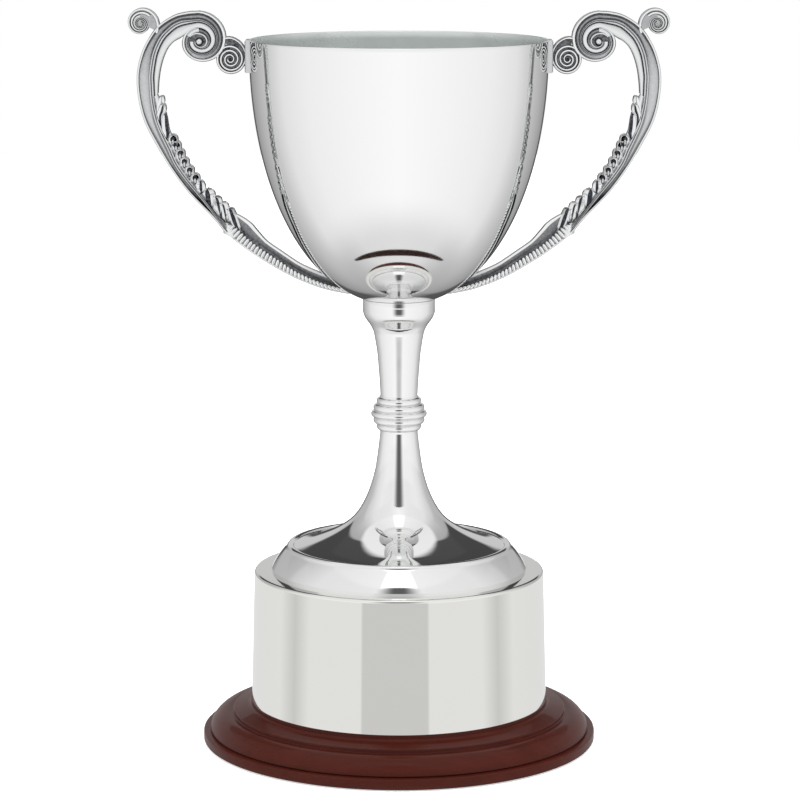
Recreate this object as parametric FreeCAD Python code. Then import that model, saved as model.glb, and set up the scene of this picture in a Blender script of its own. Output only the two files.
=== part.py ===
import FreeCAD, Part
import math
import os

from FreeCAD import Vector

# Two-handled metal presentation cup on a round banded wooden plinth.
# Millimetres, Z up, origin at the middle of the underside.
# A profile point is (radius, height). A handle point is (distance from the axis, height),
# and a share of it is how far it lies between the tail's tip and the handle's reach and top.

# Straight steps that a round stretch of a turned profile is cut into
ROUND_STEPS = 3
BOWL_STEPS = 10
NECK_STEPS = 5

# Baize pad under the plinth
PAD_THICK = 0.8
PAD_INSET = 3.0

# Wooden plinth, turned in one piece: slab, ovolo, sloping ledge and drum
SLAB_R = 95.1
SLAB_H = 5.0
SLAB_BEVEL = 0.9
GROOVE_H = 0.6
GROOVE_DEPTH = 0.8
OVOLO_IN = 3.2
OVOLO_W = 9.9
OVOLO_H = 7.6
QUIRK_W = 1.5
QUIRK_H = 2.0
LEDGE_RISE = 2.1
DRUM_RING_H = 2.3
DRUM_RING_STEP = 0.3

# Metal band: a tapered cap with a closed top, sleeved over the drum
BAND_R_BOTTOM = 71.6
BAND_R_TOP = 69.9
BAND_H = 63.9
BAND_WALL = 0.8
BAND_ROUND = 1.6
BAND_FIT = 0.15

# Foot: trumpet neck, shallow dish, raised ridge and sloping skirt
FOOT_R = 61.6
FOOT_EDGE_H = 1.3
SKIRT_RUN = 7.4
SKIRT_RISE = 9.9
SKIRT_CROWN = 0.4
RIDGE_W = 3.6
RIDGE_RISE = 1.5
DISH_STEP = 0.7
FOOT_H = 67.2
FOOT_WALL = 1.2
FOOT_TOP_THICK = 2.0
NECK_R = 9.0
TRUMPET_SHARES = (
    (0.0, 1.0), (0.022, 0.855), (0.067, 0.644), (0.159, 0.430),
    (0.301, 0.253), (0.506, 0.134), (0.795, 0.038), (1.0, 0.0),
)

# Knop: five turned beads, the middle one widest
BEAD_PITCH = 3.2
BEAD_MIDDLE_R = 13.4
BEAD_NEXT_R = 12.3
BEAD_END_R = 10.7
BEAD_GROOVE = 0.4
KNOP_END_R = 9.2
KNOP_H = 17.7

# Stem: a neck that widens to a rounded collar under the bowl
STEM_H = 44.0
STEM_FOOT_R = 8.9
STEM_TAPER_H = 31.0
STEM_SHOULDER_R = 12.1
COLLAR_CUP_H = 9.4
COLLAR_R = 17.2
COLLAR_SEAT_H = 8.0

# Bowl: a spun shell whose wall is a superellipse
BOWL_R = 70.8
BOWL_DEPTH = 126.0
BOWL_POWER = 2.15
BOWL_WALL = 1.0

# Tie bolt, washer and nut
BOLT_R = 3.0
BOLT_CLEARANCE = 0.4
WASHER_R = 9.0
WASHER_THICK = 1.6
NUT_ACROSS_FLATS = 10.0
NUT_H = 5.0
BOLT_TAIL = 3.0
RECESS_R = 11.0
RECESS_SPARE = 1.5

# Handles: how far they stand out from the rim, and their tail's tip under the bowl
HANDLE_OUT = 52.7
TAIL_TIP_R = 23.4
TAIL_TIP_DROP = 1.3

# Handle outlines as shares of that reach and height
TAIL_UNDERSIDE = ((0.0, 0.0), (0.126, 0.019), (0.274, 0.063), (0.436, 0.127), (0.597, 0.213))
OUTER_EDGE = (
    (0.606, 0.235), (0.653, 0.277), (0.762, 0.362), (0.846, 0.447), (0.912, 0.532),
    (0.968, 0.616), (0.995, 0.701), (0.999, 0.784), (0.975, 0.859), (0.937, 0.915),
    (0.892, 0.957), (0.820, 0.990), (0.750, 1.001),
)
RIDGE_LOW = (
    (0.605, 0.252), (0.694, 0.338), (0.772, 0.410), (0.822, 0.465), (0.875, 0.553),
    (0.902, 0.601), (0.918, 0.644), (0.929, 0.699),
)
RIDGE_HIGH = (
    (0.932, 0.776), (0.920, 0.833), (0.882, 0.900), (0.852, 0.925), (0.814, 0.947), (0.777, 0.957),
)
INNER_EDGE = (
    (0.792, 0.902), (0.821, 0.890), (0.851, 0.868), (0.872, 0.837), (0.888, 0.797),
    (0.897, 0.753), (0.901, 0.713),
)
CARVED_EDGE = (
    (0.901, 0.713), (0.876, 0.678), (0.859, 0.637), (0.843, 0.582), (0.802, 0.533),
    (0.759, 0.478), (0.708, 0.415), (0.652, 0.362), (0.590, 0.313), (0.557, 0.291),
)
LEAF_BORDERS = (
    ((0.886, 0.706), (0.903, 0.691), (0.914, 0.664)),
    ((0.877, 0.673), (0.892, 0.661), (0.901, 0.641), (0.906, 0.612)),
    ((0.866, 0.638), (0.878, 0.622), (0.880, 0.596), (0.874, 0.552)),
)
TAIL_TOP_EDGE = (
    (0.557, 0.291), (0.519, 0.277), (0.440, 0.221), (0.338, 0.159), (0.238, 0.110), (0.091, 0.064),
)
TAIL_ROOT = (0.03, 0.04)

# Handle section: widths across the strip, and half depths across the casting
WEB_HALF = 2.4
WEB_INSET = 0.9
RIM_W = 1.7
RIM_HALF = 4.2
RIDGE_W_CAST = 2.0
RIDGE_HALF = 4.5
INNER_BAND_HALF = 3.5
CARVED_GROUND_HALF = 2.9
LEAF_EDGE_POINTS = 4
LEAF_RIM_W = 0.7
LEAF_HALF = 3.9
SCALE_START = 20.6
SCALE_PITCH = 4.4
SCALE_R = 2.1
SCALE_LEG = 3.0
SCALE_LEAN_DEG = 40.0
POCKET_RIM_W = 0.6
POCKET_HALF = 4.0
POCKET_DEPTH = 0.8
DROP_COUNT = 3
DROP_L = 8.0
DROP_W = 3.2
FLUTE_PITCH = 2.5
FLUTE_W = 1.8
FLUTE_PROUD = 0.5
FLUTE_L_START = 4.8
FLUTE_L_END = 2.0
FLUTE_HALF = 3.2
TAIL_RIM_W = 1.2
TAIL_RIM_HALF = 3.5
LUG_PROUD = 1.7
LUG_HALF_W = 6.0
LUG_DROP = 0.2
LUG_H = 15.4
LUG_ROUND = 2.0
LUG_ROOT = 5.0

# Volutes: the place of each centre from the rim, the first radius and how it closes.
# A start is the angle before the top where a spiral leaves the strand that it ends.
VOLUTE_OUT = 23.2
VOLUTE_DROP = 1.6
VOLUTE_R = 14.9
VOLUTE_SHRINK = 0.40
VOLUTE_TURNS = 1.3
VOLUTE_WEB_HALF = 2.2
VOLUTE_START_DEG = 15
VOLUTE_WEB_END_DEG = 45
RIM_CLOSING = 0.5
RIDGE_SHARE = 0.65
RIDGE_CLOSING = 0.7
INNER_BAND_SHARE = 0.43
INNER_BAND_START_DEG = -60
INNER_TURN_DEG = 210
SCROLL_OUT = 8.4
SCROLL_DROP = 10.4
SCROLL_R = 7.2
SCROLL_PITCH = 1.76
SCROLL_OPENING = 4.0
SCROLL_OPENING_TURN = 0.125
SCROLL_START_DEG = -15
SCROLL_TURNS = 1.3
SCROLL_STRAND_W = 1.3
SCROLL_HALF = 3.6
SCROLL_WEB_HALF = 2.0
CURL_OUT = 50.7
CURL_UP = 7.5
CURL_R = 8.8
CURL_SHRINK = 0.45
CURL_TURNS = 1.1
CURL_START_DEG = -30
EYE_R = 1.3
SPIRAL_STEP_DEG = 30
STRAIGHT = 0.01

# Heights that follow from the sizes
SLAB_TOP_Z = PAD_THICK + SLAB_H
OVOLO_Z = SLAB_TOP_Z + GROOVE_H
QUIRK_Z = OVOLO_Z + OVOLO_H
LEDGE_Z = QUIRK_Z + QUIRK_H
RING_Z = LEDGE_Z + LEDGE_RISE
BAND_Z = RING_Z + DRUM_RING_H
PLINTH_TOP_Z = BAND_Z + BAND_H
KNOP_Z = PLINTH_TOP_Z + FOOT_H
STEM_Z = KNOP_Z + KNOP_H
BOWL_Z = STEM_Z + STEM_H
RIM_Z = BOWL_Z + BOWL_DEPTH
BOLT_HOLE_R = BOLT_R + BOLT_CLEARANCE
RECESS_H = WASHER_THICK + NUT_H + BOLT_TAIL + RECESS_SPARE


def line(a, b):
    """Straight edge between two points of the profile plane."""
    return Part.LineSegment(Vector(a[0], 0, a[1]), Vector(b[0], 0, b[1])).toShape()


def arc(a, middle, b):
    """Circular edge from a to b through middle."""
    return Part.Arc(*[Vector(p[0], 0, p[1]) for p in (a, middle, b)]).toShape()


def curve(points):
    """Smooth edge through the points."""
    spline = Part.BSplineCurve()
    spline.interpolate([Vector(x, 0, z) for x, z in points])
    return spline.toShape()


def arcs(points):
    """Run of arcs through the points, as smooth as the curve that they lie on."""
    spline = Part.BSplineCurve()
    spline.interpolate([Vector(x, 0, z) for x, z in points])
    knots = spline.getKnots()
    edges = []
    for start, end in zip(knots, knots[1:]):
        a, middle, b = [spline.value(t) for t in (start, (start + end) / 2, end)]
        bulge = middle.distanceToLine(a, b - a)
        edge = Part.Arc(a, middle, b) if bulge > STRAIGHT else Part.LineSegment(a, b)
        edges.append(edge.toShape())
    return edges


def shift_sideways(points, distance):
    """Points moved to the left of the way they run, by one distance or one for each."""
    distances = distance if isinstance(distance, list) else [distance] * len(points)
    moved = []
    for i, (x, z) in enumerate(points):
        before = points[max(i - 1, 0)]
        after = points[min(i + 1, len(points) - 1)]
        dx, dz = after[0] - before[0], after[1] - before[1]
        length = math.hypot(dx, dz)
        moved.append((x - dz / length * distances[i], z + dx / length * distances[i]))
    return moved


def face_of(edges):
    """Flat face inside a closed run of edges."""
    return Part.Face(Part.Wire(Part.__sortEdges__(edges)))


def ring_edges(points):
    """Closed run of straight edges through the points."""
    return [line(a, b) for a, b in zip(points, points[1:] + points[:1])]


def turned(points):
    """Solid of revolution of a closed profile about the axis."""
    return face_of(ring_edges(points)).revolve(Vector(0, 0, 0), Vector(0, 0, 1), 360)


def stepped_along(edge, steps):
    """Points that part an edge into equal steps, both ends with them."""
    return [(point.x, point.z) for point in edge.discretize(Number=steps + 1)]


def rounded(a, middle, b, steps=ROUND_STEPS):
    """Points from a to b on the circle through middle."""
    return stepped_along(arc(a, middle, b), steps)


def only_solid(shape):
    """The one solid that a cut or a union is made of."""
    return max(shape.Solids, key=lambda solid: solid.Volume)


def slab_of(edges, half):
    """A flat outline as thick as twice half, centred on the handle's plane."""
    face = face_of(edges)
    face.translate(Vector(0, -half, 0))
    return face.extrude(Vector(0, 2 * half, 0))


def strand(side_a, side_b, half):
    """A raised strand between two smooth sides that run the same way."""
    ends = [line(side_a[0], side_b[0]), line(side_a[-1], side_b[-1])]
    return slab_of(arcs(side_a) + arcs(side_b) + ends, half)


# Bowl
def bowl_outline():
    """Outside of the bowl's wall, from its bottom on the axis to below its lip."""
    points = []
    for i in range(BOWL_STEPS):
        turn = math.radians(90 * i / BOWL_STEPS)
        radius = BOWL_R * math.sin(turn) ** (2 / BOWL_POWER)
        height = RIM_Z - BOWL_DEPTH * math.cos(turn) ** (2 / BOWL_POWER)
        points.append((radius, height))
    return points + [(BOWL_R, RIM_Z - BOWL_WALL / 2)]


def bowl_height_at(radius):
    """Height of the bowl's outside at a radius."""
    share = 1 - (radius / BOWL_R) ** BOWL_POWER
    return RIM_Z - BOWL_DEPTH * share ** (1 / BOWL_POWER)


def make_bowl():
    """Thin spun shell, open at the top, with a rounded lip."""
    outer = bowl_outline()
    inner = shift_sideways(outer, BOWL_WALL)
    inner[0] = (0.0, BOWL_Z + BOWL_WALL)
    inner[-1] = (BOWL_R - BOWL_WALL, outer[-1][1])
    lip = rounded(outer[-1], (BOWL_R - BOWL_WALL / 2, RIM_Z), inner[-1])
    return turned(outer[:-1] + lip + inner[-2::-1])


def bowl_block():
    """The bowl filled solid, to cut the seats of what is soldered to it."""
    top = RIM_Z + BOWL_R
    return turned(bowl_outline() + [(BOWL_R, top), (0.0, top)])


# Stem and knop
def make_stem(seat):
    """Neck and collar, bored for the bolt, with a seat cut to the bowl."""
    shoulder_z = STEM_Z + STEM_TAPER_H
    cup_z = shoulder_z + COLLAR_CUP_H
    top_z = BOWL_Z + COLLAR_SEAT_H
    taper = STEM_SHOULDER_R - STEM_FOOT_R
    swell = COLLAR_R - STEM_SHOULDER_R
    neck = curve([
        (STEM_FOOT_R, STEM_Z),
        (STEM_FOOT_R + 0.22 * taper, STEM_Z + 0.37 * STEM_TAPER_H),
        (STEM_FOOT_R + 0.42 * taper, STEM_Z + 0.62 * STEM_TAPER_H),
        (STEM_SHOULDER_R, shoulder_z),
    ])
    cup = rounded(
        (STEM_SHOULDER_R, shoulder_z),
        (STEM_SHOULDER_R + 0.62 * swell, shoulder_z + 0.55 * COLLAR_CUP_H),
        (COLLAR_R, cup_z),
    )
    bore = [(COLLAR_R, top_z), (BOLT_HOLE_R, top_z), (BOLT_HOLE_R, STEM_Z)]
    return only_solid(turned(stepped_along(neck, NECK_STEPS)[:-1] + cup + bore).cut(seat))


def make_knop():
    """Ring of turned beads, bored for the bolt."""
    crests = (BEAD_END_R, BEAD_NEXT_R, BEAD_MIDDLE_R, BEAD_NEXT_R, BEAD_END_R)
    low = KNOP_Z + KNOP_H / 2 - BEAD_PITCH * len(crests) / 2
    grooves = [KNOP_END_R]
    grooves += [min(a, b) - BEAD_GROOVE for a, b in zip(crests, crests[1:])]
    grooves.append(KNOP_END_R)
    marks = [(radius, low + BEAD_PITCH * i) for i, radius in enumerate(grooves)]
    points = [(BOLT_HOLE_R, KNOP_Z), (NECK_R, KNOP_Z), marks[0]]
    for i, crest in enumerate(crests):
        points += rounded(marks[i], (crest, low + BEAD_PITCH * (i + 0.5)), marks[i + 1])[1:]
    return turned(points + [(NECK_R, KNOP_Z + KNOP_H), (BOLT_HOLE_R, KNOP_Z + KNOP_H)])


# Foot
def make_foot():
    """Spun foot, hollow underneath, with a bored top that the bolt clamps."""
    skirt_low = (FOOT_R, PLINTH_TOP_Z + FOOT_EDGE_H)
    skirt_top = (FOOT_R - SKIRT_RUN, skirt_low[1] + SKIRT_RISE)
    dish_edge = (skirt_top[0] - RIDGE_W, skirt_top[1] + DISH_STEP)
    ridge_crest = (skirt_top[0] - RIDGE_W / 2, skirt_top[1] + RIDGE_RISE)
    rise = KNOP_Z - dish_edge[1]
    spread = dish_edge[0] - NECK_R
    trumpet = [(NECK_R + spread * u, dish_edge[1] + rise * v) for u, v in TRUMPET_SHARES]
    slope = math.hypot(SKIRT_RUN, SKIRT_RISE)
    crown = (
        (skirt_low[0] + skirt_top[0]) / 2 + SKIRT_CROWN * SKIRT_RISE / slope,
        (skirt_low[1] + skirt_top[1]) / 2 + SKIRT_CROWN * SKIRT_RUN / slope,
    )
    roof_z = KNOP_Z - FOOT_TOP_THICK
    inside = [(NECK_R - FOOT_WALL, roof_z)]
    inside += [point for point in shift_sideways(trumpet, -FOOT_WALL) if point[1] < roof_z]
    inner_skirt = shift_sideways([skirt_top, skirt_low], -FOOT_WALL)
    foot_inside = FOOT_R - FOOT_WALL
    outside = trumpet[:-1] + rounded(dish_edge, ridge_crest, skirt_top)
    outside += [crown, skirt_low, (FOOT_R, PLINTH_TOP_Z), (foot_inside, PLINTH_TOP_Z)]
    inside = [(BOLT_HOLE_R, KNOP_Z), (BOLT_HOLE_R, roof_z)] + inside
    inside += [inner_skirt[0], (foot_inside, inner_skirt[1][1])]
    return turned(outside + inside[::-1])


# Plinth
def make_band():
    """Metal cap: tapered wall, rounded shoulder and closed top with the bolt's hole."""
    shoulder_z = PLINTH_TOP_Z - BAND_ROUND
    corner = BAND_R_TOP - BAND_ROUND
    reach = BAND_ROUND * math.sqrt(0.5)
    roof_z = PLINTH_TOP_Z - BAND_WALL
    middle = (corner + reach, shoulder_z + reach)
    shoulder = rounded((BAND_R_TOP, shoulder_z), middle, (corner, PLINTH_TOP_Z))
    outside = [(BAND_R_BOTTOM, BAND_Z)] + shoulder + [(BOLT_HOLE_R, PLINTH_TOP_Z)]
    inside = [
        (BOLT_HOLE_R, roof_z),
        (BAND_R_TOP - BAND_WALL, roof_z),
        (BAND_R_BOTTOM - BAND_WALL, BAND_Z),
    ]
    return turned(outside + inside)


def make_plinth():
    """Turned wood: slab, groove, ovolo, quirk, sloping ledge, ring and drum."""
    reach = math.sqrt(0.5)
    ovolo_r = SLAB_R - OVOLO_IN
    quirk_r = ovolo_r - OVOLO_W
    ledge_r = quirk_r - QUIRK_W
    ring_r = BAND_R_BOTTOM + DRUM_RING_STEP
    drum_low_r = BAND_R_BOTTOM - BAND_WALL - BAND_FIT
    drum_top_r = BAND_R_TOP - BAND_WALL - BAND_FIT
    drum_top_z = PLINTH_TOP_Z - BAND_WALL
    recess_z = PAD_THICK + RECESS_H
    slab = [
        (RECESS_R, PAD_THICK),
        (SLAB_R - SLAB_BEVEL, PAD_THICK),
        (SLAB_R, PAD_THICK + SLAB_BEVEL),
        (SLAB_R, SLAB_TOP_Z - SLAB_BEVEL),
        (SLAB_R - SLAB_BEVEL, SLAB_TOP_Z),
        (ovolo_r - GROOVE_DEPTH, SLAB_TOP_Z),
    ]
    ovolo = rounded(
        (ovolo_r, OVOLO_Z),
        (quirk_r + OVOLO_W * reach, OVOLO_Z + OVOLO_H * reach),
        (quirk_r, QUIRK_Z),
    )
    drum = [
        (ledge_r, QUIRK_Z),
        (ledge_r, LEDGE_Z),
        (ring_r, RING_Z),
        (ring_r, BAND_Z),
        (drum_low_r, BAND_Z),
        (drum_top_r, drum_top_z),
        (BOLT_HOLE_R, drum_top_z),
        (BOLT_HOLE_R, recess_z),
        (RECESS_R, recess_z),
    ]
    return turned(slab + ovolo + drum)


def make_pad():
    """Baize disc with a hole over the nut's recess."""
    pad = Part.makeCylinder(SLAB_R - PAD_INSET, PAD_THICK)
    return only_solid(pad.cut(Part.makeCylinder(RECESS_R, PAD_THICK)))


# Bolt, washer and nut
def make_bolt():
    """Stud from the bowl's underside down into the recess."""
    low = PAD_THICK + RECESS_SPARE
    return Part.makeCylinder(BOLT_R, BOWL_Z - low, Vector(0, 0, low))


def make_washer():
    """Flat washer against the roof of the recess."""
    low = Vector(0, 0, PAD_THICK + RECESS_H - WASHER_THICK)
    disc = Part.makeCylinder(WASHER_R, WASHER_THICK, low)
    return only_solid(disc.cut(Part.makeCylinder(BOLT_HOLE_R, WASHER_THICK, low)))


def make_nut():
    """Hexagon nut under the washer."""
    low = PAD_THICK + RECESS_H - WASHER_THICK - NUT_H
    corner = NUT_ACROSS_FLATS / 2 / math.cos(math.radians(30))
    turns = [math.radians(60 * i) for i in range(7)]
    points = [Vector(corner * math.cos(turn), corner * math.sin(turn), low) for turn in turns]
    block = Part.Face(Part.makePolygon(points)).extrude(Vector(0, 0, NUT_H))
    return only_solid(block.cut(Part.makeCylinder(BOLT_R, NUT_H, Vector(0, 0, low))))


# Handle
VOLUTE = (BOWL_R + VOLUTE_OUT, RIM_Z - VOLUTE_DROP)
SCROLL = (BOWL_R + SCROLL_OUT, RIM_Z - SCROLL_DROP)
CURL = (BOWL_R + CURL_OUT, RIM_Z + CURL_UP)
TAIL_TIP = (TAIL_TIP_R, bowl_height_at(TAIL_TIP_R) - TAIL_TIP_DROP)
REACH = (BOWL_R + HANDLE_OUT - TAIL_TIP[0], VOLUTE[1] + VOLUTE_R - TAIL_TIP[1])


def placed(shares):
    """Handle points from their shares of the reach and height."""
    return [(TAIL_TIP[0] + REACH[0] * u, TAIL_TIP[1] + REACH[1] * v) for u, v in shares]


def spiral(centre, radius_at, start, end, zero=90, sense=1):
    """Points round a centre, with angles counted from zero; sense 1 turns over the top to the bowl."""
    steps = max(round((end - start) / SPIRAL_STEP_DEG), 1)
    points = []
    for i in range(steps + 1):
        angle = start + (end - start) * i / steps
        turn = math.radians(zero + sense * angle)
        radius = radius_at(angle)
        points.append((centre[0] + radius * math.cos(turn), centre[1] + radius * math.sin(turn)))
    return points


def volute_radius(angle, share=1.0):
    """Log spiral of the main volute."""
    return share * VOLUTE_R * VOLUTE_SHRINK ** (angle / 360)


def scroll_radius(angle, inset=0.0):
    """Even spiral of the scroll by the rim, which opens fast towards the main volute."""
    opening = SCROLL_OPENING * math.exp(-angle / 360 / SCROLL_OPENING_TURN)
    return SCROLL_R - SCROLL_PITCH * angle / 360 + opening - inset


def curl_radius(angle, inset=0.0):
    """Log spiral of the small curl on the outside of the arch."""
    return CURL_R * CURL_SHRINK ** (angle / 360) - inset


def boss(centre, radius, half):
    """Round boss through the casting."""
    return Part.makeCylinder(radius, 2 * half, Vector(centre[0], -half, centre[1]), Vector(0, 1, 0))


def web_behind(points, half):
    """Web behind one turn of a spiral."""
    return slab_of(arcs(points) + [line(points[-1], points[0])], half)


def spaced(points, pitch, start):
    """Places and headings a pitch apart along the smooth line through the points."""
    edge = curve(points)
    found = []
    for i in range(int((edge.Length - start) / pitch) + 1):
        at = edge.getParameterByLength(start + i * pitch)
        place, heading = edge.valueAt(at), edge.tangentAt(at)
        found.append(((place.x, place.z), (heading.x, heading.z)))
    return found


def stepped(place, heading, forward, left):
    """A point some way forward and to the left of a place on a line."""
    return (
        place[0] + heading[0] * forward - heading[1] * left,
        place[1] + heading[1] * forward + heading[0] * left,
    )


def make_web():
    """Plain back of the casting that carries the raised work."""
    wound = spiral(VOLUTE, volute_radius, VOLUTE_START_DEG, VOLUTE_WEB_END_DEG)
    outer = shift_sideways(placed(OUTER_EDGE) + wound, WEB_INSET)
    inner = shift_sideways(placed(INNER_EDGE), WEB_INSET)
    carved = shift_sideways(placed(CARVED_EDGE), WEB_INSET)[1:]
    under = placed(TAIL_UNDERSIDE)
    tail_top = shift_sideways(placed(TAIL_TOP_EDGE), TAIL_RIM_W / 2)[1:]
    root = placed([TAIL_ROOT])[0]
    edges = []
    runs = [under, outer, inner, carved, tail_top, [root]]
    for run, after in zip(runs, runs[1:] + runs[:1]):
        edges += arcs(run) if len(run) > 1 else []
        edges.append(line(run[-1], after[0]))
    return slab_of(edges, WEB_HALF)


def make_rim():
    """Outer rim, from the tail over the arch and into the main volute."""
    last = 360 * VOLUTE_TURNS
    wound = spiral(VOLUTE, volute_radius, VOLUTE_START_DEG, last)
    outer = placed(OUTER_EDGE) + wound
    widths = [RIM_W] * len(OUTER_EDGE)
    closing = RIM_CLOSING * last / 360 / len(wound)
    widths += [RIM_W * VOLUTE_SHRINK ** (closing * i) for i in range(len(wound))]
    return strand(outer, shift_sideways(outer, widths), RIM_HALF)


def make_ridge():
    """Ridge between the hollow and the carving, wound into the main volute."""
    wound = spiral(VOLUTE, lambda angle: RIDGE_SHARE * volute_radius(angle), 0, INNER_TURN_DEG)
    straight = placed(RIDGE_LOW + RIDGE_HIGH)
    centre = straight + wound
    closing = RIDGE_CLOSING / len(wound)
    widths = [RIDGE_W_CAST / 2] * len(straight)
    widths += [RIDGE_W_CAST / 2 * VOLUTE_SHRINK ** (closing * i) for i in range(len(wound))]
    outside = shift_sideways(centre, [-w for w in widths])
    return strand(outside, shift_sideways(centre, widths), RIDGE_HALF)


def make_inner_band():
    """Band from the ridge to the inside of the arch, wound into the main volute."""
    outside = placed(RIDGE_LOW[-1:] + RIDGE_HIGH)
    outside += spiral(VOLUTE, lambda angle: RIDGE_SHARE * volute_radius(angle), 0, INNER_TURN_DEG)
    inside = placed(INNER_EDGE[::-1])
    inside += spiral(
        VOLUTE, lambda angle: INNER_BAND_SHARE * volute_radius(angle), INNER_BAND_START_DEG, INNER_TURN_DEG)
    return strand(outside, inside, INNER_BAND_HALF)


def make_scroll():
    """Smaller scroll between the main volute and the lug."""
    first, last = SCROLL_START_DEG, 360 * SCROLL_TURNS
    outer = spiral(SCROLL, scroll_radius, first, last)
    inner = spiral(SCROLL, lambda angle: scroll_radius(angle, SCROLL_STRAND_W), first, last)
    middle = spiral(SCROLL, lambda angle: scroll_radius(angle, SCROLL_STRAND_W / 2), first, first + 360)
    return [strand(outer, inner, SCROLL_HALF), web_behind(middle, SCROLL_WEB_HALF)]


def make_curl():
    """Small curl that springs from the outside of the arch."""
    first, last = CURL_START_DEG, 360 * CURL_TURNS
    way = {"zero": 180, "sense": -1}
    outer = spiral(CURL, curl_radius, first, last, **way)
    inner = spiral(CURL, lambda angle: curl_radius(angle, SCROLL_STRAND_W), first, last, **way)
    middle = spiral(
        CURL, lambda angle: curl_radius(angle, SCROLL_STRAND_W / 2), first, first + 360, **way)
    return [strand(outer, inner, SCROLL_HALF), web_behind(middle, SCROLL_WEB_HALF)]


def make_leaves():
    """Ground of the carved strip, with the leaves' edges whose tips stand on its inside."""
    carved = placed(CARVED_EDGE)
    ground = strand(carved, placed(RIDGE_LOW[::-1]), CARVED_GROUND_HALF)
    borders = [placed(border) for border in LEAF_BORDERS] + [carved[:LEAF_EDGE_POINTS]]
    return [ground] + [strand(b, shift_sideways(b, LEAF_RIM_W), LEAF_HALF) for b in borders]


def sunken(outline, pocket):
    """Raised form between two closed runs of edges, with a floor sunk inside the inner one."""
    rim = slab_of(outline, POCKET_HALF).cut(slab_of(pocket, POCKET_HALF))
    return [rim, slab_of(outline, POCKET_HALF - POCKET_DEPTH)]


def scale(place, heading):
    """Sunken scale like a roof tile: an arch whose legs run down to the ridge."""
    lean = math.radians(SCALE_LEAN_DEG)
    leaning = stepped((0, 0), heading, math.sin(lean), math.cos(lean))
    centre = stepped(place, heading, 0, SCALE_R)
    runs = []
    for radius in (SCALE_R, SCALE_R - POCKET_RIM_W):
        top = stepped(centre, leaning, -radius, 0)
        shoulders = [stepped(centre, leaning, 0, side * radius) for side in (-1, 1)]
        feet = [stepped(shoulder, leaning, SCALE_LEG, 0) for shoulder in shoulders]
        runs.append([arc(shoulders[0], top, shoulders[1]), line(shoulders[0], feet[0]),
                     line(feet[0], feet[1]), line(feet[1], shoulders[1])])
    return sunken(runs[0], runs[1])


def drop(place, heading):
    """Pointed scale drawn out between two bowed edges."""
    runs = []
    for inset in (0, POCKET_RIM_W):
        tip = stepped(place, heading, 2 * inset, inset)
        end = stepped(place, heading, DROP_L - 2 * inset, DROP_W - inset)
        near = stepped(place, heading, DROP_L / 2, inset)
        far = stepped(place, heading, DROP_L / 2, DROP_W - inset)
        runs.append([arc(tip, near, end), arc(tip, far, end)])
    return sunken(runs[0], runs[1])


def make_scales():
    """Scales down the inside of the arch, the lowest drawn out into drops."""
    places = spaced(placed(CARVED_EDGE), SCALE_PITCH, SCALE_START)
    solids = []
    for place, heading in places[:-DROP_COUNT]:
        solids += scale(place, heading)
    for place, heading in places[-DROP_COUNT:]:
        solids += drop(place, heading)
    return solids


def make_flutes():
    """Short ribs across the underside of the tail, shorter towards its tip."""
    places = spaced(placed(TAIL_UNDERSIDE), FLUTE_PITCH, FLUTE_PITCH / 2)
    flutes = []
    for i, (place, heading) in enumerate(places):
        length = FLUTE_L_END + (FLUTE_L_START - FLUTE_L_END) * i / len(places)
        half = FLUTE_W / 2
        corners = [
            stepped(place, heading, -half, -FLUTE_PROUD),
            stepped(place, heading, half, -FLUTE_PROUD),
            stepped(place, heading, half, length),
            stepped(place, heading, -half, length),
        ]
        flutes.append(slab_of(ring_edges(corners), FLUTE_HALF))
    return flutes


def make_tail_rim():
    """Raised edge along the top of the tail."""
    edge = placed(TAIL_TOP_EDGE)
    return strand(edge, shift_sideways(edge, TAIL_RIM_W), TAIL_RIM_HALF)


def make_lug():
    """Rounded pad that is soldered to the bowl beside the rim."""
    inside = BOWL_R - LUG_ROOT
    low = Vector(inside, -LUG_HALF_W, RIM_Z - LUG_DROP - LUG_H)
    pad = Part.makeBox(LUG_ROOT + LUG_PROUD, 2 * LUG_HALF_W, LUG_H, low)
    corners = [edge for edge in pad.Edges if abs(edge.tangentAt(edge.FirstParameter).x) > 0.9]
    return pad.makeFillet(LUG_ROUND, corners)


def make_handle(seat):
    """One casting: web, raised strands, scrolls, leaves, scales, flutes and lug."""
    pieces = [make_rim(), make_ridge(), make_inner_band(), make_tail_rim(), make_lug()]
    turn = spiral(VOLUTE, lambda angle: volute_radius(angle) - RIM_W / 2, 0, 360)
    pieces.append(web_behind(turn, VOLUTE_WEB_HALF))
    pieces.append(boss(VOLUTE, EYE_R, RIM_HALF))
    pieces += make_scroll() + make_curl() + make_leaves() + make_scales() + make_flutes()
    return only_solid(make_web().multiFuse(pieces).cut(seat))


def main():
    """Build every piece and write one STEP file for each."""
    os.makedirs("parts", exist_ok=True)
    seat = bowl_block()
    handle = make_handle(seat)
    pieces = {
        "bowl": make_bowl(),
        "handle_right": handle,
        "handle_left": only_solid(handle.mirror(Vector(0, 0, 0), Vector(1, 0, 0))),
        "stem": make_stem(seat),
        "knop": make_knop(),
        "foot": make_foot(),
        "plinth_band": make_band(),
        "wooden_plinth": make_plinth(),
        "baize_pad": make_pad(),
        "tie_bolt": make_bolt(),
        "tie_washer": make_washer(),
        "tie_nut": make_nut(),
    }
    for name, shape in pieces.items():
        print(name, shape.ShapeType, len(shape.Solids), shape.isValid(), round(shape.Volume, 1))
        shape.exportStep(f"parts/{name}.step")


main()
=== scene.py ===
"""Looks of a two-handled plated presentation cup on a banded hardwood plinth.

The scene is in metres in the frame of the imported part: Z runs up the turning axis, the
handles reach out along +X and -X, and the front looks towards -Y. The sizes of the cup's
own pieces are in millimetres.
"""

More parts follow.
